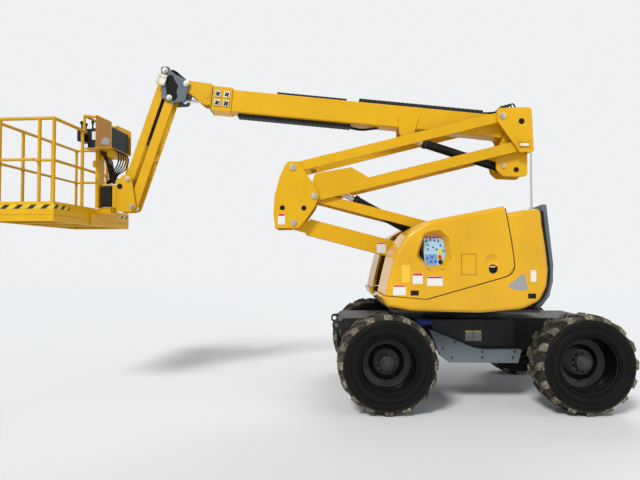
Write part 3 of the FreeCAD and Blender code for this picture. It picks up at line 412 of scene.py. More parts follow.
def make_weathering():
    """Paint as it ages: uneven tone, worn edges, dust that settles low down and on what faces up."""
    tree = bpy.data.node_groups.new("weathering", "ShaderNodeTree")
    for label, kind, value in WEATHERING_INPUTS:
        tree.interface.new_socket(label, in_out="INPUT", socket_type=kind).default_value = value
    for label, kind in WEATHERING_OUTPUTS:
        tree.interface.new_socket(label, in_out="OUTPUT", socket_type=kind)
    given = tree.nodes.new("NodeGroupInput").outputs
    age = Graph(tree)
    place = age.place()
    wide = age.noise(place, 1.7, 3.0)
    fine = age.noise(place, 23.0, 6.0, 0.65)
    upright = age.add("Mapping", {"Vector": age.place(), "Scale": (9.0, 9.0, 0.8)}).outputs[0]
    streak = age.noise(upright, 2.0, 4.0)
    tone = age.times(age.ramp(wide, 0.3, 0.72, -0.6, 0.6), given["Tone change"])
    tone = age.plus(tone, age.times(age.ramp(streak, 0.3, 0.8, -0.12, 0.12), given["Tone change"]))
    toned = age.add("HueSaturation", {"Color": given["Colour"], "Value": age.plus(tone, 1.0)}).outputs[0]
    worn = age.times(age.attribute("wear"), age.ramp(fine, 0.46, 0.62))
    worn = age.times(worn, given["Wear"], clamp=True)
    low = age.ramp(age.parts(place)["Z"], 0.0, given["Dust height"], 1.0, 0.0, kind="LINEAR")
    facing = age.add("NewGeometry").outputs["Normal"]
    up = age.ramp(age.parts(facing)["Z"], 0.35, 1.0)
    settled = age.plus(age.times(low, 0.75), age.times(up, 0.55))
    patchy = age.plus(age.ramp(fine, 0.3, 0.75), age.times(age.ramp(wide, 0.35, 0.7), 0.6))
    dust = age.times(age.times(settled, patchy), given["Dust"], clamp=True)
    loss = age.plus(age.times(dust, 0.8), age.times(worn, 0.35))
    peel = age.noise(place, 260.0, 2.0)
    age.fill(tree.nodes.new("NodeGroupOutput"), {
        "Colour": age.mix(dust, age.mix(worn, toned, given["Worn colour"]), given["Dust colour"]),
        "Gloss loss": age.plus(loss, age.times(fine, 0.12)),
        "Height": age.maths("SUBTRACT", age.times(peel, 0.35), worn)})


def make_paint(
        name, colour, worn, tone, wear, dust, dust_height, rough, metallic=0.0, coat=0.0, bump=0.08,
        shine=0.25):
    paint = Finish(name)
    aged = paint.add("Group", node_tree=bpy.data.node_groups["weathering"])
    paint.fill(aged, {
        "Colour": linear(colour), "Worn colour": linear(worn), "Dust colour": linear(DUST),
        "Tone change": tone, "Wear": wear, "Dust": dust, "Dust height": dust_height})
    paint.surface({
        "Base Color": aged.outputs["Colour"],
        "Roughness": paint.plus(aged.outputs["Gloss loss"], rough, clamp=True),
        "Specular IOR Level": shine, "Metallic": metallic, "Coat Weight": coat, "Coat Roughness": 0.12,
    }, (aged.outputs["Height"], bump, 0.0012))


def make_rubber(name, colour, dust_colour, dust, tread=False):
    """Tyre or hose rubber: fine grain, scuffs and, on a tread, dried mud on the outer blocks."""
    rubber = Finish(name)
    place = rubber.place()
    fine = rubber.noise(place, 46.0, 8.0, 0.7)
    wide = rubber.noise(place, 6.0, 4.0)
    mask = rubber.times(rubber.ramp(fine, 0.3, 0.72), rubber.ramp(wide, 0.28, 0.66, 0.45, 1.0))
    if tread:
        mask = rubber.times(mask, rubber.attribute("mud"))
    mask = rubber.times(mask, dust, clamp=True)
    grain = rubber.plus(rubber.times(fine, 0.6), rubber.noise(place, 420.0, 3.0))
    rubber.surface({
        "Base Color": rubber.mix(mask, linear(colour), linear(dust_colour)),
        "Roughness": rubber.plus(rubber.times(mask, 0.4), 0.5, clamp=True),
        "Specular IOR Level": 0.1,
    }, (grain, 0.25, 0.0012))


def make_metal(name, colour, rough, grain, bump, spots=0.0):
    """Bare metal with dull patches; grain is the scale of its fine marks."""
    metal = Finish(name)
    place = metal.place()
    fine = metal.noise(place, grain, 5.0, 0.6)
    wide = metal.noise(place, 9.0, 3.0)
    mask = metal.times(metal.ramp(wide, 0.38, 0.7), 0.25 + spots, clamp=True)
    metal.surface({
        "Base Color": metal.mix(mask, linear(colour), linear([c * 0.62 for c in colour])),
        "Roughness": metal.plus(metal.ramp(fine, 0.25, 0.75, 0.0, 0.16), rough, clamp=True),
        "Metallic": 1.0,
    }, (fine, bump, 0.0006))


def make_stripes(name, dark, light, width):
    """Slanted warning stripes in two paints, scuffed and dusty like the rest."""
    tape = Finish(name)
    place = tape.place()
    parts = tape.parts(place)
    run = tape.maths("SUBTRACT", tape.plus(parts["X"], parts["Y"]), parts["Z"])
    wave = tape.maths("FRACT", tape.maths("DIVIDE", run, width * 2 * MM))
    band = tape.maths("GREATER_THAN", wave, 0.44)
    scuff = tape.ramp(tape.noise(place, 31.0, 7.0, 0.7), 0.45, 0.7, 0.0, 0.5)
    tape.surface({
        "Base Color": tape.mix(scuff, tape.mix(band, linear(dark), linear(light)), linear(SCUFF)),
        "Roughness": tape.plus(tape.times(scuff, 0.5), 0.4)})


def make_chequer(name, colour):
    """Deck plate: short raised bars set crosswise in turn, bright on top and dusty between."""
    deck = Finish(name)
    place = deck.place()
    heights = []
    for turn, shift in ((0.785, 0.0), (-0.785, 0.5)):
        spot = deck.add("Mapping", {
            "Vector": place, "Rotation": (0, 0, turn), "Scale": (18.0, 42.0, 1.0),
            "Location": (shift, 0, 0)}).outputs[0]
        cell = deck.add(
            "TexVoronoi", {"Vector": spot, "Scale": 1.0, "Randomness": 0.0}, voronoi_dimensions="2D")
        heights.append(deck.ramp(cell.outputs["Distance"], 0.22, 0.34, 1.0, 0.0))
    bars = deck.maths("MAXIMUM", *heights)
    dirt = deck.ramp(deck.noise(place, 12.0, 6.0, 0.65), 0.35, 0.7, 0.15, 0.85)
    dirt = deck.times(dirt, deck.maths("SUBTRACT", 1.0, deck.times(bars, 0.7)))
    deck.surface({
        "Base Color": deck.mix(dirt, linear(colour), linear(DECK_DIRT)),
        "Roughness": deck.plus(deck.times(dirt, 0.4), 0.38), "Metallic": 0.8,
    }, (bars, 0.8, 0.002))


YELLOW = (0.875, 0.665, 0.03)
DUST = (0.58, 0.53, 0.45)
SCUFF = (0.36, 0.31, 0.24)
DECK_DIRT = (0.40, 0.36, 0.30)
RUST = (0.30, 0.17, 0.10)
PALE = (0.80, 0.66, 0.30)
GREY = (0.3, 0.3, 0.3)
# Columns: name, colour, colour where worn, tone change, wear, dust, dust height, roughness, the rest
PAINTS = (
    ("hood_paint", (0.875, 0.655, 0.02), PALE, 0.12, 0.3, 0.14, 1.5, 0.28, dict(coat=0.38, bump=0.05)),
    ("rail_paint", (0.84, 0.64, 0.09), RUST, 0.14, 0.8, 0.2, 2.2, 0.40, {}),
    ("charcoal_paint", (0.10, 0.11, 0.13), RUST, 0.2, 0.5, 0.28, 1.25, 0.45, {}),
    ("grey_paint", (0.385, 0.425, 0.455), (0.25, 0.22, 0.20), 0.12, 0.7, 0.32, 1.1, 0.40, {}),
    ("black_paint", (0.075, 0.075, 0.08), (0.35, 0.33, 0.31), 0.2, 0.6, 0.2, 1.8, 0.34, {}),
    ("rim_paint", (0.03, 0.033, 0.04), RUST, 0.3, 0.4, 0.04, 0.75, 0.18, dict(coat=0.25, shine=0.15)),
    ("cast_iron", (0.21, 0.215, 0.22), RUST, 0.3, 0.5, 0.16, 0.9, 0.5, dict(metallic=0.3, bump=0.5)),
    ("tray_plastic", (0.13, 0.135, 0.14), GREY, 0.15, 0.4, 0.35, 3.0, 0.55, dict(bump=0.2)),
    ("console_plastic", (0.12, 0.12, 0.125), GREY, 0.15, 0.4, 0.25, 2.5, 0.5, dict(bump=0.35)),
    ("control_panel", (0.66, 0.80, 0.88), (0.5, 0.5, 0.5), 0.06, 0.3, 0.12, 1.4, 0.35, {}),
    ("mast_white", (0.70, 0.71, 0.72), (0.6, 0.6, 0.6), 0.05, 0.2, 0.2, 2.2, 0.35, {}),
    ("label_white", (0.90, 0.90, 0.88), (0.6, 0.6, 0.55), 0.06, 0.3, 0.15, 2.0, 0.35, {}),
    ("label_red", (0.80, 0.16, 0.14), (0.6, 0.5, 0.5), 0.08, 0.3, 0.1, 2.0, 0.35, {}),
    # Dark yellow-brown lines
    ("dark_yellow_line", (0.42, 0.30, 0.08), (0.6, 0.5, 0.3), 0.08, 0.0, 0.1, 2.0, 0.4, {}),
    ("paint_patch", (0.95, 0.76, 0.22), PALE, 0.1, 0.0, 0.2, 1.5, 0.3, dict(coat=0.3)),
    ("faded_patch", (0.60, 0.60, 0.58), (0.6, 0.5, 0.3), 0.12, 0.0, 0.2, 2.0, 0.5, {}),
    # Blue for the painted reflection of the sky on the chassis's glossy top
    ("painted_sky_reflection", (0.16, 0.27, 0.62), (0.5, 0.55, 0.7), 0.15, 0.6, 0.3, 1.2, 0.5, {}),
    # Near black for painted shade inside holes, slots, cups and hollows
    ("painted_opening_shade", (0.05, 0.05, 0.05), (0.2, 0.2, 0.2), 0.1, 0.0, 0.15, 1.5, 0.7, {}),
    ("button_dark", (0.07, 0.07, 0.09), (0.2, 0.2, 0.2), 0.05, 0.3, 0.1, 1.5, 0.35, {}),
    ("button_blue", (0.45, 0.60, 0.82), (0.5, 0.6, 0.7), 0.05, 0.0, 0.1, 1.5, 0.35, {}),
    ("button_yellow", (0.90, 0.80, 0.14), (0.5, 0.5, 0.3), 0.05, 0.0, 0.1, 1.5, 0.35, {}),
    ("brown_shade", (0.60, 0.42, 0.20), RUST, 0.1, 0.5, 0.2, 2.0, 0.45, {}),
)


class LIFT_OT_finishes(bpy.types.Operator):
    """Make every paint, rubber and metal, and give each node its own"""
    bl_idname = "boom_lift.finishes"
    bl_label = "Finishes"

    def execute(self, context):
        make_weathering()
        make_paint(
            "machine_paint", context.scene.boom_lift.paint, (0.34, 0.24, 0.12), 0.10, 0.75, 0.13, 1.6,
            0.36, coat=0.06)
        for *values, more in PAINTS:
            make_paint(*values, **more)
        make_metal("chrome_rod", (0.86, 0.87, 0.89), 0.08, 60.0, 0.02)
        make_metal("zinc", (0.78, 0.76, 0.70), 0.34, 90.0, 0.15, spots=0.25)
        make_metal("dark_steel", (0.34, 0.33, 0.32), 0.42, 120.0, 0.2, spots=0.3)
        make_rubber("tyre_rubber", (0.045, 0.046, 0.05), (0.60, 0.56, 0.48), 1.4, tread=True)
        make_rubber("hose_rubber_and_gap_shade", (0.06, 0.06, 0.062), (0.4, 0.37, 0.32), 0.2)
        make_chequer("deck_metal", (0.66, 0.67, 0.68))
        make_stripes("hazard_stripes", (0.07, 0.07, 0.07), (0.92, 0.78, 0.16), 70.0)
        for node, obj in NODES.items():
            obj.data.materials.clear()
            obj.data.materials.append(FINISHES[SLOT_OF[node]])
        return {"FINISHED"}


# Columns: name, strength, where it stands in metres, how soft it is in degrees
SUNS = (
    ("key", 2.3, (-4.5, -8.0, 8.5), 14.0), ("fill", 0.45, (8.0, -7.0, 3.5), 60.0),
    ("rim", 0.7, (3.0, 8.0, 7.0), 30.0),
)


class LIFT_OT_stage(bpy.types.Operator):
    """Put up the floor, the white surroundings, the lights and the camera"""
    bl_idname = "boom_lift.stage"
    bl_label = "Stage"

    def execute(self, context):
        scene = context.scene
        bpy.ops.mesh.primitive_plane_add(size=60.0, location=(0, 0, 0))
        floor = bpy.context.object
        floor.name = "floor"
        ground = Finish("floor")
        ground.surface({"Base Color": (0.80, 0.80, 0.79, 1.0), "Roughness": 0.9})
        floor.data.materials.append(ground.material)
        world = bpy.data.worlds.new("studio")
        scene.world = world
        world.use_nodes = True
        sky = Graph(world.node_tree)
        back = sky.tree.nodes["Background"]
        sky.fill(back, {"Color": (0.80, 0.86, 0.95, 1.0), "Strength": 0.42})
        white = sky.add("Background", {"Color": (0.865, 0.875, 0.885, 1.0), "Strength": 1.0})
        ray = sky.add("LightPath").outputs
        seen = sky.maths("MAXIMUM", ray["Is Camera Ray"], ray["Is Glossy Ray"])
        seen = sky.maths("MAXIMUM", seen, ray["Is Transmission Ray"])
        blend = sky.add("MixShader", {0: seen, 1: back.outputs[0], 2: white.outputs[0]})
        sky.fill(sky.tree.nodes["World Output"], {"Surface": blend.outputs[0]})
        for name, strength, place, soft in SUNS:
            light = bpy.data.lights.new(name, "SUN")
            light.energy = strength
            light.angle = radians(soft)
            lamp = bpy.data.objects.new(name, light)
            lamp.location = place
            lamp.rotation_euler = (-Vector(place)).to_track_quat("-Z", "Y").to_euler()
            scene.collection.objects.link(lamp)
        sizes = scene.boom_lift
        camera = bpy.data.cameras.new("camera")
        camera.lens = sizes.lens
        camera.sensor_width = 36.0
        view = bpy.data.objects.new("camera", camera)
        view.location = sizes.camera_place
        view.rotation_euler = (radians(90.0) + sizes.camera_tilt, 0.0, 0.0)
        scene.collection.objects.link(view)
        scene.camera = view
        scene.view_settings.view_transform = "Standard"
        return {"FINISHED"}


# Wheels

WHEELS = (("front_near", -1), ("front_far", 1), ("rear_near", -1), ("rear_far", 1))
TYRE_HALF = 192.5
TYRE_RADIUS = 523.0
RIM_HALF = 156.5
HUB_FACE = -8.0
# Rows of radius and distance outwards from the tyre's half width, from the bead to the tread's middle
SIDE_WALL = (
    (300.5, -42), (303, -20), (308, -8), (316, -6), (321, -14), (328, -14), (333, -5), (356, -1), (376, 2),
    (381, 1), (386, -6), (392, -6), (397, 0), (424, 1), (429, 4), (436, 4), (441, -3), (452, -5),
    (457, -0.5), (467, -1), (473, -8), (482, -20), (490, -34), (495.5, -60), (498, -110),
    (498.5, -TYRE_HALF),
)
# Columns: distance from the middle plane, share of the sweep, half width, sole radius, root radius
RIBS = (
    (4.0, 1.0, 25.0, TYRE_RADIUS, 494.0),
    (52.0, 0.66, 27.0, TYRE_RADIUS, 494.0),
    (104.0, 0.30, 32.0, TYRE_RADIUS - 1, 493.0),
    (140.0, 0.12, 38.0, TYRE_RADIUS - 2, 488.0),
    (163.0, 0.04, 41.0, TYRE_RADIUS - 6, 482.0),
    (181.0, 0.0, 43.0, TYRE_RADIUS - 22, 474.0),
    (186.0, 0.0, 43.0, TYRE_RADIUS - 45, 466.0),
)
# Rows of radius and distance outwards: the dish's outside from bead to bead, then the well
RIM_ROWS = (
    (300, RIM_HALF + 0.5), (300, RIM_HALF + 9), (297, RIM_HALF + 12), (291, RIM_HALF + 12),
    (286, RIM_HALF + 6), (283, RIM_HALF - 8), (276, RIM_HALF - 20), (272, RIM_HALF - 36),
    (262, RIM_HALF - 58), (262, 60), (258, -16), (222, -34), (190, -38), (140, -14), (126, -8),
    (78.05, -8), (78.05, -20), (128, -20), (214, -46), (262, -44), (268, -RIM_HALF + 30),
    (272, -RIM_HALF + 8), (286, -RIM_HALF - 6), (300, -RIM_HALF - 12), (300, -RIM_HALF - 0.5),
    (285.7, -RIM_HALF + 3), (285.7, RIM_HALF - 3), (300, RIM_HALF + 0.5),
)
HUB_ROWS = (
    (0, 104), (20, 104), (26, 101), (28, 92), (46, 90), (50, 86), (52, 74), (70, 70), (76, 64), (78, 52),
    (78, -20), (119, -20), (119, -54), (77, -54), (77, -100), (0, -100),
)


def end_wheel_piece(shape, kind, place, finish, angle=30):
    replaced = (kind + "_" + place,)
    shape.done(kind + "_detail_" + place, finish, "wheel_" + place, finish, replaced, angle)


def make_tyre(place, centre, lug_pairs):
    """A rough-terrain tyre: ringed side walls, a round shoulder and slanted tread blocks."""
    tyre = Shape()
    wall = [(r, TYRE_HALF + out) for r, out in SIDE_WALL]
    rows = wall + [(r, -out) for r, out in reversed(wall[:-1])]
    bead = TYRE_HALF - 42
    tyre.turned(rows + [(287, -bead), (287, bead), rows[0]], centre)
    mud = tyre.bm.verts.layers.float.new("mud")
    for vert in tyre.bm.verts:
        spot = vert.co / MM - centre
        reach = Vector((spot.x, 0, spot.z)).length
        vert[mud] = 0.22 if reach > 472 else (0.05 if reach > 446 else 0.016)
    pitch = 2 * pi / lug_pairs
    for i in range(lug_pairs):
        for way in SIDES:
            add_lug(tyre.bm, mud, centre, way, pitch * (i + (0.5 if way > 0 else 0.0)), pitch)
    end_wheel_piece(tyre, "tyre", place, "tyre_rubber", 46)


def add_lug(bm, mud, centre, way, start, pitch):
    """One tread block: a strip of soles, thickened down to its root and bent round the carcass."""
    span = len(RIBS) - 1
    soles = bmesh.ops.create_grid(bm, x_segments=1, y_segments=span, size=1.0)["verts"]
    long_edges = [e for e in edges_of(soles) if abs(e.verts[0].co.x - e.verts[1].co.x) < 0.1]
    faces = list({f for v in soles for f in v.link_faces})
    roots = only(bmesh.ops.extrude_face_region(bm, geom=faces), bmesh.types.BMVert)
    for verts, column in ((soles, 3), (roots, 4)):
        for vert in verts:
            rib = RIBS[round((vert.co.y + 1) / 2 * span)]
            turn = start + pitch * 0.55 * rib[1] + vert.co.x * rib[2] / rib[3]
            vert[mud] = 1.0 if rib[0] > 120 and column == 3 else 0.5
            vert.co = around(centre, rib[column], way * rib[0], turn) * MM
    bevel(bm, long_edges, 4.0)


def make_rim(place, centre, side):
    """The rim with its deep dish, and the planetary hub with nuts and cap in the middle."""
    out = Vector((0, side, 0))
    rim = Shape()
    rim.turned(RIM_ROWS, centre, side)
    end_wheel_piece(rim, "rim", place, "rim_paint")
    hub = Shape()
    hub.turned(HUB_ROWS, centre, side, steps=64)
    for i in range(8):
        spot = around(centre, 61, side * 72, 2 * pi * i / 8 + 0.2)
        hub.hexagon(spot, spot + out * 9, 7)
    end_wheel_piece(hub, "hub", place, "cast_iron")
    nuts = Shape()
    for i in range(10):
        spot = around(centre, 100, side * HUB_FACE, 2 * pi * i / 10)
        nuts.rod(spot, spot + out * 4, 17, sides=20, edge=1)
        nuts.hexagon(spot, spot + out * 22, 14)
        nuts.rod(spot, spot + out * 32, 8, sides=14, edge=1)
    valve = centre + Vector((0, side * HUB_FACE, -205))
    nuts.rod(valve - out * 22, valve + Vector((0, side * 30, 20)), 5, sides=12)
    nuts.done("nuts_" + place, "cast_iron", "wheel_" + place, "cast_iron", angle=30)


class LIFT_OT_wheels(bpy.types.Operator):
    """Make the tyres, rims, hubs and nuts"""
    bl_idname = "boom_lift.wheels"
    bl_label = "Wheels"

    def execute(self, context):
        for place, side in WHEELS:
            low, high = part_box("tyre_" + place)
            centre = (low + high) / 2 / MM
            make_tyre(place, centre, context.scene.boom_lift.lug_pairs)
            make_rim(place, centre, side)
        return {"FINISHED"}


# Chassis

# Places of the skirts' bolts: x, z
SKIRT_BOLTS = (
    (1500, 770), (1560, 620), (1660, 520), (1700, 690), (2000, 520), (2000, 585), (2340, 520), (2360, 585))


class LIFT_OT_chassis(bpy.types.Operator):
    """Dress the frame, axles and skirts with bolts, blank plates and hoses, and add a blue block of painted
    sky reflection
    """
    bl_idname = "boom_lift.chassis"
    bl_label = "Chassis"

    def execute(self, context):
        soft_copies("charcoal_paint", 4.0, "chassis_frame")
        soft_copies("grey_paint", 3.0, "side_skirts")
        soft_copies("charcoal_paint", 3.0, "turret_frame")
        soft_copies(
            "charcoal_paint", 2.5, "axle_front", "axle_rear", "steering_knuckle_near",
            "steering_knuckle_far")
        banded_labels(
            "chassis_label", [(x, 745, 88, 116, 795, 16) for x in (1883, 1978)], "chassis",
            "charcoal_paint", near_face("chassis_frame"), "faded_patch", "button_yellow", 4)
        # A blue block with two ribs: painted reflection of the sky on the chassis's glossy top
        sky_reflection = Shape()
        sky_reflection.block((1296, -560, 866), (1459, -452, 926), 14, segments=4)
        for x in (1330, 1410):
            sky_reflection.block((x, -566, 880), (x + 15, -446, 932), 4)
        sky_reflection.done("painted_sky_reflection", "painted_sky_reflection", "chassis", "grey_paint")
        bolts = Shape()
        face = abs(near_face("side_skirts"))
        for x, z in SKIRT_BOLTS:
            for side in SIDES:
                spot = Vector((x, side * face, z))
                bolts.rod(spot, spot + Vector((0, side * 2.5, 0)), 14, sides=18, edge=0.5)
                bolts.hexagon(spot, spot + Vector((0, side * 11, 0)), 10)
        bolts.done("skirt_bolts", "dark_steel", "chassis", "grey_paint")
        axle = pin_of("roll_rear_near").x
        hoses("brake_hoses", [
            [(axle - 500, y, 740), (axle - 420, y - 20, 690), (axle - 330, y - 40, 640),
             (axle - 200, y - 60, 590), (axle - 95, y - 80, 575)] for y in (-330, -300)],
            8.0, "chassis")
        return {"FINISHED"}


# Arms, boom and jib


class LIFT_OT_arms(bpy.types.Operator):
    """Dress the arms, the boom and the jib with soft, worn edges"""
    bl_idname = "boom_lift.arms"
    bl_label = "Arms"

    def execute(self, context):
        for node, width in (
                ("lower_arm", 3.0), ("lower_link", 2.5), ("elbow", 3.0), ("upper_arm", 3.0),
                ("upper_link", 2.5), ("top_upright", 3.0), ("boom_outer", 2.5), ("boom_inner", 2.0),
                ("jib_upper", 2.5), ("jib_lower", 2.5)):
            soft_copy(node, "machine_paint", width)
        soft_copy("jib_head", "grey_paint", 2.5)
        soft_copy("platform_carrier", "machine_paint", 2.5)
        return {"FINISHED"}


# Columns: joint, body that carries the pin, half width to the plate's face, radius of the head
PINS = (
    ("arm_lift", "turret", 268, 42),
    ("lower_link_pin", "turret", 268, 40),
    ("elbow_pin", "elbow", 268, 39),
    ("upper_arm_pin", "elbow", 268, 39),
    ("upper_link_pin", "elbow", 268, 39),
    ("lift_foot", "top_upright", 150, 26),
    ("level_pin", "inner_boom", 130, 38),
    ("jib_upper_pin", "jib_head", 132, 36),
    ("jib_lift", "jib_head", 132, 36),
    ("carrier_pin", "platform_carrier", 130, 34),
)


class LIFT_OT_pins(bpy.types.Operator):
    """Add the heads, nuts and ends of the pins"""
    bl_idname = "boom_lift.pins"
    bl_label = "Pins"

    def execute(self, context):
        rows = [(pin_of(joint), *row) for joint, *row in PINS]
        # The upper link's far pin and the jib's other lower pin, which no joint of the tree names
        rows.append((pin_of("upright_pin") + Vector((-259, 0, 345)), "top_upright", 268, 39))
        rows.append((
            pin_of("carrier_pin") + pin_of("jib_upper_pin") - pin_of("jib_lift"), "platform_carrier",
            130, 34))
        for body in dict.fromkeys(row[1] for row in rows):
            heads = Shape()
            for spot, _, half, radius in [row for row in rows if row[1] == body]:
                for side in SIDES:
                    face = Vector((spot.x, side * half, spot.z))
                    out = Vector((0, side, 0))
                    heads.rod(face - out * 12, face + out * 2, radius, sides=32, edge=3)
                    heads.hexagon(face, face + out * 14, radius * 0.62)
                    heads.rod(face + out * 4, face + out * 19, radius * 0.30, sides=16, edge=1.5)
            heads.done("pin_heads_" + body, "zinc", body, "chrome_rod")
        return {"FINISHED"}


# Columns: name, radius and length of the barrel, whether it has a line of its own
CYLINDERS = (
    ("lift", 55, 1010, True), ("scissor", 60, 1300, False), ("level", 34, 560, False),
    ("jib", 40, 940, True),
)


class LIFT_OT_cylinders(bpy.types.Operator):
    """Dress the hydraulic cylinders with glands, ports and lines"""
    bl_idname = "boom_lift.cylinders"
    bl_label = "Cylinders"

    def execute(self, context):
        for name, radius, length, has_line in CYLINDERS:
            place = slide_place(name + "_foot", name + "_slide")
            barrel = name + "_barrel"
            soft_copy(barrel, "black_paint", 2.0)
            NODES[name + "_rod"].data.materials.clear()
            NODES[name + "_rod"].data.materials.append(FINISHES["chrome_rod"])
            gland = Shape(place)
            for x in (length - 46, length - 30):
                gland.rod((x, 0, 0), (x + 9, 0, 0), radius + 9, sides=40, edge=1.5)
            gland.rod((length, 0, 0), (length + 5, 0, 0), radius * 0.86, sides=40, edge=1.5)
            gland.done(name + "_gland_rings", "dark_steel", barrel, "black_paint")
            if has_line:
                self.add_line(name, radius, length, barrel, place)
        return {"FINISHED"}

    def add_line(self, name, radius, length, barrel, place):
        """A port at each end of the barrel, and the line between them."""
        if name == "lift":
            place = place @ Matrix.Rotation(pi / 2, 4, "X")
        port, low, mouth, top = 95, radius + 9, radius + 20, radius + 34
        ports = Shape(place)
        for x in (port, length - port):
            ports.block((x - 22, -16, radius - 6), (x + 22, 16, radius + 10), 2)
            ports.hexagon((x, 0, low), (x, 0, radius + 22), 12)
        ports.done(name + "_ports", "zinc", barrel, "chrome_rod")
        route = (
            (length - port, mouth), (length - port, top), (length - 150, top), (length - 190, low),
            (length * 0.5, low), (190, low), (150, top), (port, top), (port, mouth))
        hoses(name + "_line", [[(x, 0, z) for x, z in route]], 6.5, barrel, place)


# Columns: start, end, low and high side of a tray's ribs, half width
TRAY_RIBS = ((2140, 2980, 90, 127, 73), (440, 1950, 90, 147, 73), (2060, 3440, -236, -190, 65))


class LIFT_OT_boom_trim(bpy.types.Operator):
    """Add the slide pads' bolts, the trays' ribs and the hoses that leave them"""
    bl_idname = "boom_lift.boom_trim"
    bl_label = "Boom trim"

    def execute(self, context):
        place = slide_place("boom_lift", "telescope")
        plates, clamps = Shape(place), Shape()
        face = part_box("boom_outer")[1].y / MM
        for side in SIDES:
            for u in (3602, 3712):
                for v in (14, -98):
                    plates.block(
                        (u - 39, side * face - 2.5, v - 39), (u + 39, side * face + 2.5, v + 39), 1.5)
                    spot = Matrix.Translation(Vector((u, side * face, v)) * MM)
                    clamps.place = place @ spot @ Matrix.Rotation(0.6, 4, "Y")
                    for length, height in ((31, 9), (9, 31)):
                        clamps.block((-length, -9, -height), (length, 9, height))
                    clamps.hexagon((0, 0, 0), (0, side * 15, 0), 12)
        plates.done("pad_plates", "zinc", "main_boom", "machine_paint")
        clamps.done("pad_clamps", "button_dark", "main_boom", "machine_paint")
        soft_copy("hose_trays", "tray_plastic", 4.0)
        ribs = Shape(place)
        for start, end, low, high, half in TRAY_RIBS:
            count = round((end - start) / 58)
            for i in range(count + 1):
                u = start + (end - start) * i / count
                ribs.block((u - 5, -half, low), (u + 5, half, high), 1.5, segments=1)
        ribs.done("tray_ribs", "tray_plastic", "main_boom", "tray_plastic")
        # Black strips round the boom's head, between it and its nose: painted shade in the gap
        gap_shade = Shape(place)
        for v0, v1 in ((-198, -186), (96, 106)):
            gap_shade.block((3778, -122, v0), (3789, 122, v1))
        for side in SIDES:
            gap_shade.block((3778, side * 116 - 8, -190), (3789, side * 116 + 8, 100))
        gap_shade.done("head_gap_shade", "button_dark", "main_boom", "machine_paint")
        lines = []
        for i, y in enumerate((-34, -12, 12, 34)):
            back = 26 * i
            lines.append([
                (440, y, 118), (380, y, 124), (300, y * 1.3, 132), (225 - back, y * 1.7, 170),
                (165 - back, y * 1.9, 262), (120 - back, y * 2, 268), (96 - back, y * 2, 190),
                (90 - back, y * 1.9, 84)])
        hoses("tail_hoses", lines, 9.0, "main_boom", place)
        lines = [
            [(2045, y, -215), (1990, y, -225), (1900, y, -235), (1800, y * 0.8, -212), (1700, y * 0.5, -190)]
            for y in (-30, 0, 30)]
        hoses("belly_hoses", lines, 9.0, "main_boom", place)
        return {"FINISHED"}


# Outline of the near-black sheet of painted shade in the jib head's hollow, x and z from the jib's upper pin
HEAD_SHADE = (
    (28, -60), (92, -48), (126, -140), (168, -190), (140, -262), (160, -330), (118, -384), (24, -350),
    (10, -200))


class LIFT_OT_jib_trim(bpy.types.Operator):
    """Add the clamps at the top of the jib, a near-black sheet of painted shade in its head's hollow, and the
    hoses over it
    """
    bl_idname = "boom_lift.jib_trim"
    bl_label = "Jib trim"

    def execute(self, context):
        top = mid_pin("jib_upper_pin")
        clamp = Shape(along(top, top + (mid_pin("carrier_pin") - mid_pin("jib_lift"))))
        for side in SIDES:
            clamp.block((56, side * 138 - 12, -58), (188, side * 138 + 12, 54), 4)
            for x in (84, 160):
                for z in (-32, 28):
                    clamp.hexagon((x, side * 148, z), (x, side * 158, z), 10)
        clamp.done("jib_clamp", "zinc", "jib_upper", "chrome_rod")
        # A near-black sheet on each side of the head: painted shade in its hollow
        flat_piece(
            "head_hollow_shade", [(top.x + x, top.z + z) for x, z in HEAD_SHADE],
            [(side * 122, side * 123) for side in SIDES], "painted_opening_shade", "jib_head", "grey_paint", 22)
        nose = mid_pin("level_pin")
        hoses("head_hoses", [
            [(top.x - 10, y, top.z - 30), (top.x + 30, y, top.z + 30), (top.x + 110, y, top.z + 24),
             (nose.x - 90, y, nose.z + 108), (nose.x - 20, y, nose.z + 68), (nose.x + 30, y, nose.z - 30)]
            for y in (-62, -36, 36, 62)], 11.0, "jib_head")
        return {"FINISHED"}


class LIFT_OT_upright_trim(bpy.types.Operator):
    """Add near-black discs of painted shade in the upright's access holes, and the small plate and blank label
    on its lower pivot
    """
    bl_idname = "boom_lift.upright_trim"
    bl_label = "Upright trim"

    def execute(self, context):
        boom, foot, low = (pin_of(joint) for joint in ("boom_lift", "lift_foot", "upright_pin"))
        # Near-black discs inside the access holes: painted shade
        holes = Shape()
        for side in SIDES:
            holes.rod((boom.x, side * 238, boom.z), (boom.x, side * 252, boom.z), 37, sides=36)
            x, z = foot.x + 160, foot.z - 44
            holes.rod((x, side * 134, z), (x, side * 141, z), 25, sides=30)
        holes.done("upright_hole_shade", "painted_opening_shade", "top_upright", "machine_paint")
        plate = Shape()
        for side in SIDES:
            plate.block((low.x - 68, side * 272 - 5, low.z - 30), (low.x + 62, side * 272 + 5, low.z + 52), 4)
            for x in (low.x - 48, low.x + 42):
                plate.hexagon((x, side * 274, low.z + 34), (x, side * 284, low.z + 34), 8)
        plate.done("upright_plate", "machine_paint", "top_upright", "machine_paint")
        # A white blank label, with a thin dark yellow-brown strip above it
        for name, finish, z, wide, high in (
                ("upright_label", "label_white", -10, 96, 32), ("upright_line", "dark_yellow_line", 18, 104, 6)):
            labels(name, [(low.x - 4, low.z + z, wide, high)], finish, "top_upright", "machine_paint", -277)
        return {"FINISHED"}


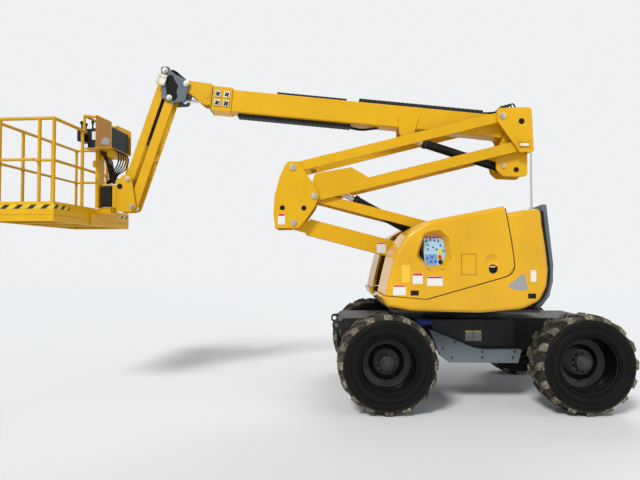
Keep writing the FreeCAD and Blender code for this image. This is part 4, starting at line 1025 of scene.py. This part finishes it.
class LIFT_OT_elbow_trim(bpy.types.Operator):
    """Add near-black discs of painted shade in the elbow's round openings, and the blank labels of elbow and
    arm
    """
    bl_idname = "boom_lift.elbow_trim"
    bl_label = "Elbow trim"

    def execute(self, context):
        mid = pin_of("upper_arm_pin")
        # Near-black discs inside the round openings: painted shade
        opening_shade = Shape()
        for dx, dz in ((-384, -144), (-125, -148)):
            for side in SIDES:
                spot = Vector((mid.x + dx, side * 222, mid.z + dz))
                opening_shade.rod(
                    spot - Vector((0, side * 20, 0)), spot + Vector((0, side * 16, 0)), 44, sides=32, edge=2)
        opening_shade.done("elbow_opening_shade", "painted_opening_shade", "elbow", "machine_paint")
        banded_labels(
            "elbow_label", [(-273, 2094, 86, 128, 2144, 24)], "elbow", "machine_paint",
            near_face("elbow") + 12)
        banded_labels(
            "arm_label", [(940, 1750, 112, 124, 1803, 14)], "lower_arm", "machine_paint",
            near_face("lower_arm"))
        return {"FINISHED"}


# Hood, ground controls and counterweight

# Dark lines of painted shade on the hood's side face, x and z: in the gap round the door, and in the gap
# behind, between the hood and the counterweight
DOOR_SEAM_SHADE = (
    (2122, 2146), (2150, 2000), (2188, 1781), (2203, 1660), (2215, 1560), (2212, 1515), (2186, 1468),
    (2146, 1442), (2000, 1398), (1700, 1314), (1400, 1229), (1310, 1204))
REAR_GAP_SHADE = (
    (2516, 2120), (2526, 1990), (2559, 1745), (2580, 1560), (2581, 1440), (2564, 1325), (2524, 1240),
    (2474, 1176))
FADED_CORNER = ((2137, 1340), (2296, 1469), (2318, 1452), (2351, 1308), (2290, 1290), (2197, 1300))


class LIFT_OT_hood(bpy.types.Operator):
    """Dress the doors and the hood with labels, locks and grips, and with dark lines of painted shade in the
    door's seam and in the gap at the rear
    """
    bl_idname = "boom_lift.hood"
    bl_label = "Hood"

    def execute(self, context):
        soft_copies("hood_paint", 2.0, "hood_door_near", "hood_door_far", "hood_shells")
        face = near_face("hood_door_near")
        banded_labels("door_label", [
            (1205, 1416, 104, 112, 1458, 22), (1382, 1390, 164, 100, 1428, 18),
            (1014, 1296, 132, 104, 1338, 16)], "door_near", "hood_paint", face)
        labels("rear_label", [(2407, 1442, 57, 118)], "label_white", "turret", "hood_paint", face)
        # Thin dark yellow-brown strips round a rectangle on the door
        border = Shape()
        for x0, x1, z0, z1 in (
                (1660, 1813, 1452, 1457), (1660, 1813, 1668, 1673), (1660, 1665, 1452, 1673),
                (1808, 1813, 1452, 1673)):
            border.block((x0, face - 1.5, z0), (x1, face + 0.5, z1), 0.0)
        border.done("door_plate_frame", "dark_yellow_line", "door_near", "hood_paint")
        flat_piece(
            "faded_corner", FADED_CORNER, [(face, face - 0.6)], "faded_patch", "turret", "hood_paint", 9)
        # The slots are near black: painted shade inside them
        for name, body, x, z in (("rear_slot", "turret", 2390, 1235), ("front_slot", "door_near", 1172, 1266)):
            slot = Shape()
            slot.block((x - 42, face - 2.5, z - 26), (x + 42, face + 4, z + 26))
            front = max(slot.bm.faces, key=lambda f: -f.calc_center_median().y * 10 + f.calc_area())
            bmesh.ops.inset_individual(slot.bm, faces=[front], thickness=7 * MM, depth=-2 * MM)
            slot.done(name, "painted_opening_shade", body, "hood_paint")
        for side, body in zip(SIDES, ("door_near", "door_far")):
            deep = side * (abs(face) - 31)
            # The grip cup is near black: painted shade inside the grip's hollow
            cup = Shape()
            cup.rod((1992, deep, 1514), (1992, deep - side * 30, 1514), 47, 40, sides=32, edge=1)
            cup.done("grip_cup_" + body, "painted_opening_shade", body, "hood_paint")
            latch = Shape()
            latch.block((1962, deep + side * 2, 1528), (2020, deep + side * 18, 1548), 6)
            latch.done("grip_latch_" + body, "zinc", body, "chrome_rod")
        # Dark strips along the door's gap and the rear gap: painted shade
        for side, name in zip(SIDES, ("near", "far")):
            for kind, points, inset, radius in (
                    ("door_seam_shade_", DOOR_SEAM_SHADE, 1.5, 5.0), ("rear_gap_shade_", REAR_GAP_SHADE, 36, 15.0)):
                y = side * (abs(face) - inset)
                hoses(kind + name, [[(x, y, z) for x, z in points]], radius, "turret")
        # A paler, brighter yellow patch on the near door
        labels("pale_patch", [(1083, 1466, 84, 178)], "paint_patch", "door_near", "hood_paint", face, 0.5)
        return {"FINISHED"}


CONTROL_PLATE = ((1288, 1872), (1496, 1872), (1524, 1700), (1496, 1548), (1300, 1548), (1284, 1700))
BLUE_FIELD = ((1308, 1558), (1424, 1558), (1424, 1668), (1296, 1668))
SWITCHES = (
    (1316, 1806), (1356, 1818), (1398, 1812), (1440, 1806), (1330, 1766), (1384, 1740), (1462, 1762),
    (1318, 1622), (1362, 1590), (1372, 1640), (1410, 1590), (1494, 1704), (1420, 1720), (1330, 1720))
POCKET = (
    (1190, 1650), (1274, 1895), (1440, 1926), (1530, 1840), (1555, 1629), (1482, 1500), (1315, 1500))
POCKET_MIDDLE = (1376, 0, 1715)


def make_pocket(outer, inner):
    """A sloping rim from the door's opening back to the control plate, between two depths."""
    pocket = Shape()
    bm = pocket.bm
    rim = [bm.verts.new(Vector((x, outer, z)) * MM) for x, z in POCKET]
    for pair in zip(rim, rim[1:] + rim[:1]):
        bm.edges.new(pair)
    bevel(bm, rim, 50, 5, "VERTICES")
    border = list(bm.edges)
    centre = Vector(POCKET_MIDDLE) * MM
    last = 1.0
    for y, share in ((outer + 10, 0.985), (outer + 34, 0.95), (outer + 66, 0.84), (inner, 0.78)):
        border = only(bmesh.ops.extrude_edge_only(bm, edges=border), bmesh.types.BMEdge)
        for vert in {v for e in border for v in e.verts}:
            flat = Vector((vert.co.x, 0, vert.co.z))
            vert.co = centre + (flat - centre) * (share / last) + Vector((0, y * MM, 0))
        last = share
    obj = pocket.done("door_pocket", "hood_paint", "door_near", "hood_paint")
    wall = obj.modifiers.new("wall", "SOLIDIFY")
    wall.thickness = 3 * MM
    wall.offset = 0.0


class LIFT_OT_ground_controls(bpy.types.Operator):
    """Make the control plate in the door's pocket: red row, blue corner, switches and stop"""
    bl_idname = "boom_lift.ground_controls"
    bl_label = "Ground controls"

    def execute(self, context):
        face = near_face("ground_controls")
        soft_copy("ground_controls", "console_plastic", 3.0)
        plate = Shape()
        plate.plate(CONTROL_PLATE, face - 5, face, 1.5, 10)
        plate.done("control_plate", "control_panel", "turret", "control_panel")
        flat_piece(
            "control_blue_field", BLUE_FIELD, [(face - 6, face - 4)], "button_blue", "turret",
            "control_panel", 6)
        red = Shape()
        for x in spread(1302, 38, 5):
            red.block((x, face - 7, 1836), (x + 28, face - 4, 1862))
        red.rod((1452, face - 8, 1642), (1452, face - 30, 1642), 17, sides=28, edge=4)
        red.done("control_red", "label_red", "turret", "control_panel")
        yellow = Shape()
        yellow.rod((1452, face - 4, 1642), (1452, face - 9, 1642), 28, sides=32, edge=2)
        yellow.block((1428, face - 7, 1682), (1474, face - 4, 1716), 3)
        yellow.done("control_yellow", "button_yellow", "turret", "control_panel")
        dark = Shape()
        for x, z in SWITCHES:
            dark.rod((x, face - 4, z), (x, face - 8, z), 9, sides=16, edge=1)
            dark.rod((x, face - 7, z), (x, face - 24, z + 7), 3.6, 2.6, sides=12, edge=1)
        dark.rod((1458, face - 4, 1588), (1458, face - 22, 1588), 22, sides=28, edge=3)
        dark.done("control_switches", "button_dark", "turret", "control_panel")
        make_pocket(near_face("hood_door_near") + 3, face + 2)
        return {"FINISHED"}


class LIFT_OT_counterweight(bpy.types.Operator):
    """Dress the counterweight, and make the mast as a tube with its foot and cap"""
    bl_idname = "boom_lift.counterweight"
    bl_label = "Counterweight"

    def execute(self, context):
        soft_copy("counterweight", "grey_paint", 8.0)
        low, high = corners("antenna_mast")
        x, y = (low.x + high.x) / 2, (low.y + high.y) / 2
        mast = Shape()
        mast.rod((x, y, low.z), (x, y, high.z - 10), 10.5, 9.5, sides=20)
        mast.rod((x, y, high.z - 14), (x, y, high.z), 12, 8, sides=20, edge=2)
        mast.rod((x, y, low.z), (x, y, low.z + 34), 19, 14, sides=28, edge=3)
        mast.done("mast_tube", "mast_white", "turret", "mast_white", ("antenna_mast",))
        return {"FINISHED"}


class LIFT_OT_machinery(bpy.types.Operator):
    """Dress the engine with its caps and silencer, and the tank with its cap"""
    bl_idname = "boom_lift.machinery"
    bl_label = "Machinery"

    def execute(self, context):
        soft_copy("engine_block", "cast_iron", 12.0)
        soft_copy("fluid_tank", "tray_plastic", 18.0)
        low, high = corners("engine_block")
        engine = Shape()
        y, top = low.y + 120, high.z
        for x in spread(low.x + 90, 130, 5):
            engine.rod((x, y, top), (x, y, top + 26), 34, 30, sides=28, edge=3)
        y = high.y - 90
        engine.rod((low.x + 60, y, top + 60), (high.x - 60, y, top + 60), 46, sides=32, edge=6)
        for x in (low.x + 200, high.x - 200):
            engine.rod((x, y, top - 6), (x, y, top + 30), 26)
        engine.done("engine_top", "dark_steel", "turret", "cast_iron")
        low, high = corners("fluid_tank")
        cap = Shape()
        x, y, top = low.x + 120, -690, high.z
        cap.rod((x, y, top - 4), (x, y, top + 34), 44, sides=36, edge=5)
        cap.rod((x, y, top + 30), (x, y, top + 48), 52, edge=5)
        cap.done("tank_cap", "button_dark", "turret", "tray_plastic")
        return {"FINISHED"}


# Platform

# The deck in the platform's own frame: its sides along X and its half length along Y
DECK_FAR, DECK_NEAR, DECK_HALF = -970.0, -170.0, 900.0
TAPE_LOW, TAPE_HIGH = 2164.0, 2209.0
TAPE_GAP, TAPE_FACE = 0.2, 1.2
CONSOLE_TOP = 3190.0


def make_deck(place):
    """The deck's tread and the warning stripes on its toe boards."""
    tread = Shape(place)
    tread.block(
        (DECK_FAR + 52, -DECK_HALF + 52, 2109), (DECK_NEAR - 52, DECK_HALF - 52, 2111.5), 0.5)
    tread.done("deck_floor", "deck_metal", "platform", "deck_metal")
    tape = Shape(place)
    for y0, y1 in (
            (-DECK_HALF - TAPE_FACE, -DECK_HALF - TAPE_GAP), (DECK_HALF + TAPE_GAP, DECK_HALF + TAPE_FACE)):
        tape.block((DECK_FAR, y0, TAPE_LOW), (DECK_NEAR, y1, TAPE_HIGH), 0.0)
    for x0, x1 in (
            (DECK_FAR - TAPE_FACE, DECK_FAR - TAPE_GAP), (DECK_NEAR + TAPE_GAP, DECK_NEAR + TAPE_FACE)):
        for y0, y1 in ((-DECK_HALF, -DECK_HALF + 300), (DECK_HALF - 300, DECK_HALF)):
            tape.block((x0, y0, TAPE_LOW), (x1, y1, TAPE_HIGH), 0.0)
    tape.done("toe_stripes", "hazard_stripes", "platform", "deck_metal")


def make_sockets(place):
    """Collars where the rails meet their posts."""
    collars = Shape(place)
    for x in (DECK_FAR + 24, DECK_NEAR - 24):
        for y in (-DECK_HALF + 24, -DECK_HALF / 3, DECK_HALF / 3, DECK_HALF - 24):
            for z0, z1, radius in ((2676, 2724, 21.5), (3133, 3157, 21.5), (2116, 2134, 22.5)):
                collars.rod((x, y, z0), (x, y, z1), radius, edge=2)
    collars.done("rail_sockets", "rail_paint", "platform", "rail_paint")


def make_support(place):
    """The channel that carries the console, its arm and its tab."""
    support = Shape(place)
    for y in (66, -66):
        support.block((-152, y - 6, 2243), (-110, y + 6, 2948), 3)
    for low, high, edge in (
            ((-116, -72, 2243), (-106, 72, 2948), 3), ((-146, -150, 2742), (-112, -62, 2822), 4),
            ((36, -150, 2868), (136, 150, 2948), 6), ((-104, -40, 2862), (40, 40, 2900), 4)):
        support.block(low, high, edge)
    support.done("console_support", "machine_paint", "platform", "machine_paint")


def make_rotator():
    """The rotator's round sleeve with its bands and bolts, and near-black discs of painted shade in the
    carrier's holes.
    """
    axis = pin_of("platform_turn").x
    low, _ = corners("platform_carrier")
    foot, top = low.z + 60, low.z + 322
    sleeve = Shape()
    sleeve.rod((axis, 0, foot), (axis, 0, top), 97.5, sides=56, edge=2)
    for z in (foot + 30, foot + 120, top - 40):
        sleeve.rod((axis, 0, z), (axis, 0, z + 16), 101, sides=56, edge=3)
    for i in range(12):
        angle = 2 * pi * i / 12
        spot = Vector((axis + 82 * cos(angle), 82 * sin(angle), top))
        sleeve.hexagon(spot, spot + Vector((0, 0, 9)), 9)
    sleeve.done("rotator_sleeve", "black_paint", "platform_carrier", "black_paint")
    # Near-black discs inside the carrier's holes: painted shade
    holes = Shape()
    for side in SIDES:
        holes.rod((axis + 172, side * 119, 2505), (axis + 172, side * 121, 2505), 34, sides=36)
    holes.done("carrier_hole_shade", "painted_opening_shade", "platform_carrier", "machine_paint")


class LIFT_OT_platform(bpy.types.Operator):
    """Dress the deck, the toe boards, the rails, the console's support and the rotator"""
    bl_idname = "boom_lift.platform"
    bl_label = "Platform"

    def execute(self, context):
        place = platform_place()
        soft_copy("platform_deck", "machine_paint", 2.0)
        soft_copy("platform_bracket", "machine_paint", 3.0)
        soft_copy("entry_bar", "rail_paint", 1.5)
        make_deck(place)
        make_sockets(place)
        make_support(place)
        make_rotator()
        return {"FINISHED"}


GUARD = ((-45, 2962), (144, 2962), (144, 3262), (-45, 3350))
GUARD_LABEL = ((22, 2996), (126, 2990), (128, 3062), (70, 3080), (22, 3052))


class LIFT_OT_console(bpy.types.Operator):
    """Dress the operator's console with guard, joysticks, switches, stop and cables"""
    bl_idname = "boom_lift.console"
    bl_label = "Console"

    def execute(self, context):
        place = platform_place()
        soft_copy("platform_console", "console_plastic", 5.0)
        for name, outline, spans, finish, slot, corner in (
                # The guard's brown faces: painted shade, and faded paint, on its yellow plates
                ("guard_shade_faces", GUARD, ((-267.4, -266.2), (266.2, 267.4)), "brown_shade", "rail_paint", 8),
                ("guard_label", GUARD_LABEL, ((-268.2, -267.0),), "faded_patch", "rail_paint", 5),
                ("console_label", rectangle(-112, -52, 3060, 3160), ((-234.5, -232.5),), "label_white",
                 "console_plastic", 6)):
            flat_piece(name, outline, spans, finish, "platform", slot, corner, place)
        drive = Shape(place)
        drive.block((-302, -240, 3046), (-216, -58, 3184), 10)
        drive.block((-240, -200, 3180), (-150, -100, 3204), 6)
        x = -262
        for y in (-196, -104):
            drive.rod((x, y, 3182), (x, y, 3222), 30, 11)
            drive.rod((x, y, 3214), (x - 3, y + 2, 3268), 9, 12, sides=16, edge=3)
            drive.ball((x - 3, y + 2, 3280), 23)
        drive.done("drive_box", "button_dark", "platform", "console_plastic")
        sticks = Shape(place)
        top = CONSOLE_TOP
        x = -150
        for y in (-150, -50, 60):
            sticks.rod((x, y, top - 22), (x, y, top + 4), 34, 30, sides=28, edge=3)
            sticks.rod((x, y, top + 2), (x, y, top + 38), 27, 10)
            sticks.rod((x, y, top + 30), (x - 2, y + 4, top + 96), 9, 11, sides=16, edge=3)
            sticks.ball((x - 3, y + 5, top + 104), 19)
        sticks.done("joysticks", "button_dark", "platform", "console_plastic")
        stop = Shape(place)
        stop.rod((-110, 150, top + 2), (-110, 150, top + 30), 22, sides=28, edge=4)
        stop.done("console_stop", "label_red", "platform", "console_plastic")
        switches = Shape(place)
        for y in (90, 124, 158):
            for x in (-95, -139):
                switches.rod((x, y, top - 4), (x, y, top + 14), 7, sides=14, edge=1)
        switches.block((-70, -210, 2990), (40, -120, 3030), 8)
        switches.done("console_switches", "zinc", "platform", "chrome_rod")
        lines = []
        for i, y in enumerate(spread(-150, 52, 5)):
            lines.append([
                (-60, y, 2965), (-20, y, 2900), (20, y * 0.8, 2800), (30, y * 0.6, 2700),
                (40 + 8 * i, y * 0.4, 2600), (20 + 10 * i, y * 0.3, 2600), (-20, y * 0.3, 2556)])
        for i, y in enumerate(spread(-170, 60, 5)):
            lines.append([
                (120, y, 2950), (176, y, 2936), (206 + 6 * i, y, 2870), (170, y * 0.8, 2760 - 12 * i),
                (90, y * 0.6, 2690), (60, y * 0.4, 2620), (50, y * 0.3, 2552)])
        hoses("console_cables", lines, 8.0, "platform", place)
        return {"FINISHED"}


# The add-on


class LiftSizes(bpy.types.PropertyGroup):
    """What a user may change before the operators run"""
    paint: FloatVectorProperty(
        name="Machine paint", description="Colour of the arms and the boom, as it looks on a screen",
        subtype="COLOR", size=3, min=0.0, max=1.0, default=YELLOW)
    lug_pairs: IntProperty(
        name="Tread blocks", description="Pairs of tread blocks round a tyre", default=16, min=8, max=40)
    lens: FloatProperty(
        name="Lens", description="Focal length of the camera, in millimetres", default=29.53, min=10.0)
    camera_place: FloatVectorProperty(
        name="Camera place", description="Where the camera stands", subtype="TRANSLATION", unit="LENGTH",
        size=3, default=(0.190, -6.55, 1.65))
    camera_tilt: FloatProperty(
        name="Camera tilt", description="How far the camera looks up", subtype="ANGLE", unit="ROTATION",
        default=radians(1.745))


OPERATORS = (
    LIFT_OT_finishes, LIFT_OT_stage, LIFT_OT_wheels, LIFT_OT_chassis, LIFT_OT_arms, LIFT_OT_pins,
    LIFT_OT_cylinders, LIFT_OT_boom_trim, LIFT_OT_jib_trim, LIFT_OT_upright_trim, LIFT_OT_elbow_trim,
    LIFT_OT_hood, LIFT_OT_ground_controls, LIFT_OT_counterweight, LIFT_OT_machinery, LIFT_OT_platform,
    LIFT_OT_console,
)


class LIFT_PT_panel(bpy.types.Panel):
    """Lists the sizes and the operators in the order in which they run"""
    bl_label = "Boom lift"
    bl_idname = "LIFT_PT_panel"
    bl_space_type = "VIEW_3D"
    bl_region_type = "UI"
    bl_category = "Boom lift"

    def draw(self, context):
        sizes = context.scene.boom_lift
        for key in LiftSizes.__annotations__:
            self.layout.prop(sizes, key)
        for operator in OPERATORS:
            self.layout.operator(operator.bl_idname)


CLASSES = (LiftSizes, *OPERATORS, LIFT_PT_panel)


def register():
    for item in CLASSES:
        bpy.utils.register_class(item)
    bpy.types.Scene.boom_lift = PointerProperty(type=LiftSizes)


def unregister():
    del bpy.types.Scene.boom_lift
    for item in reversed(CLASSES):
        bpy.utils.unregister_class(item)


def main():
    register()
    for operator in OPERATORS:
        group, name = operator.bl_idname.split(".")
        getattr(getattr(bpy.ops, group), name)()


if __name__ == "__main__":
    main()
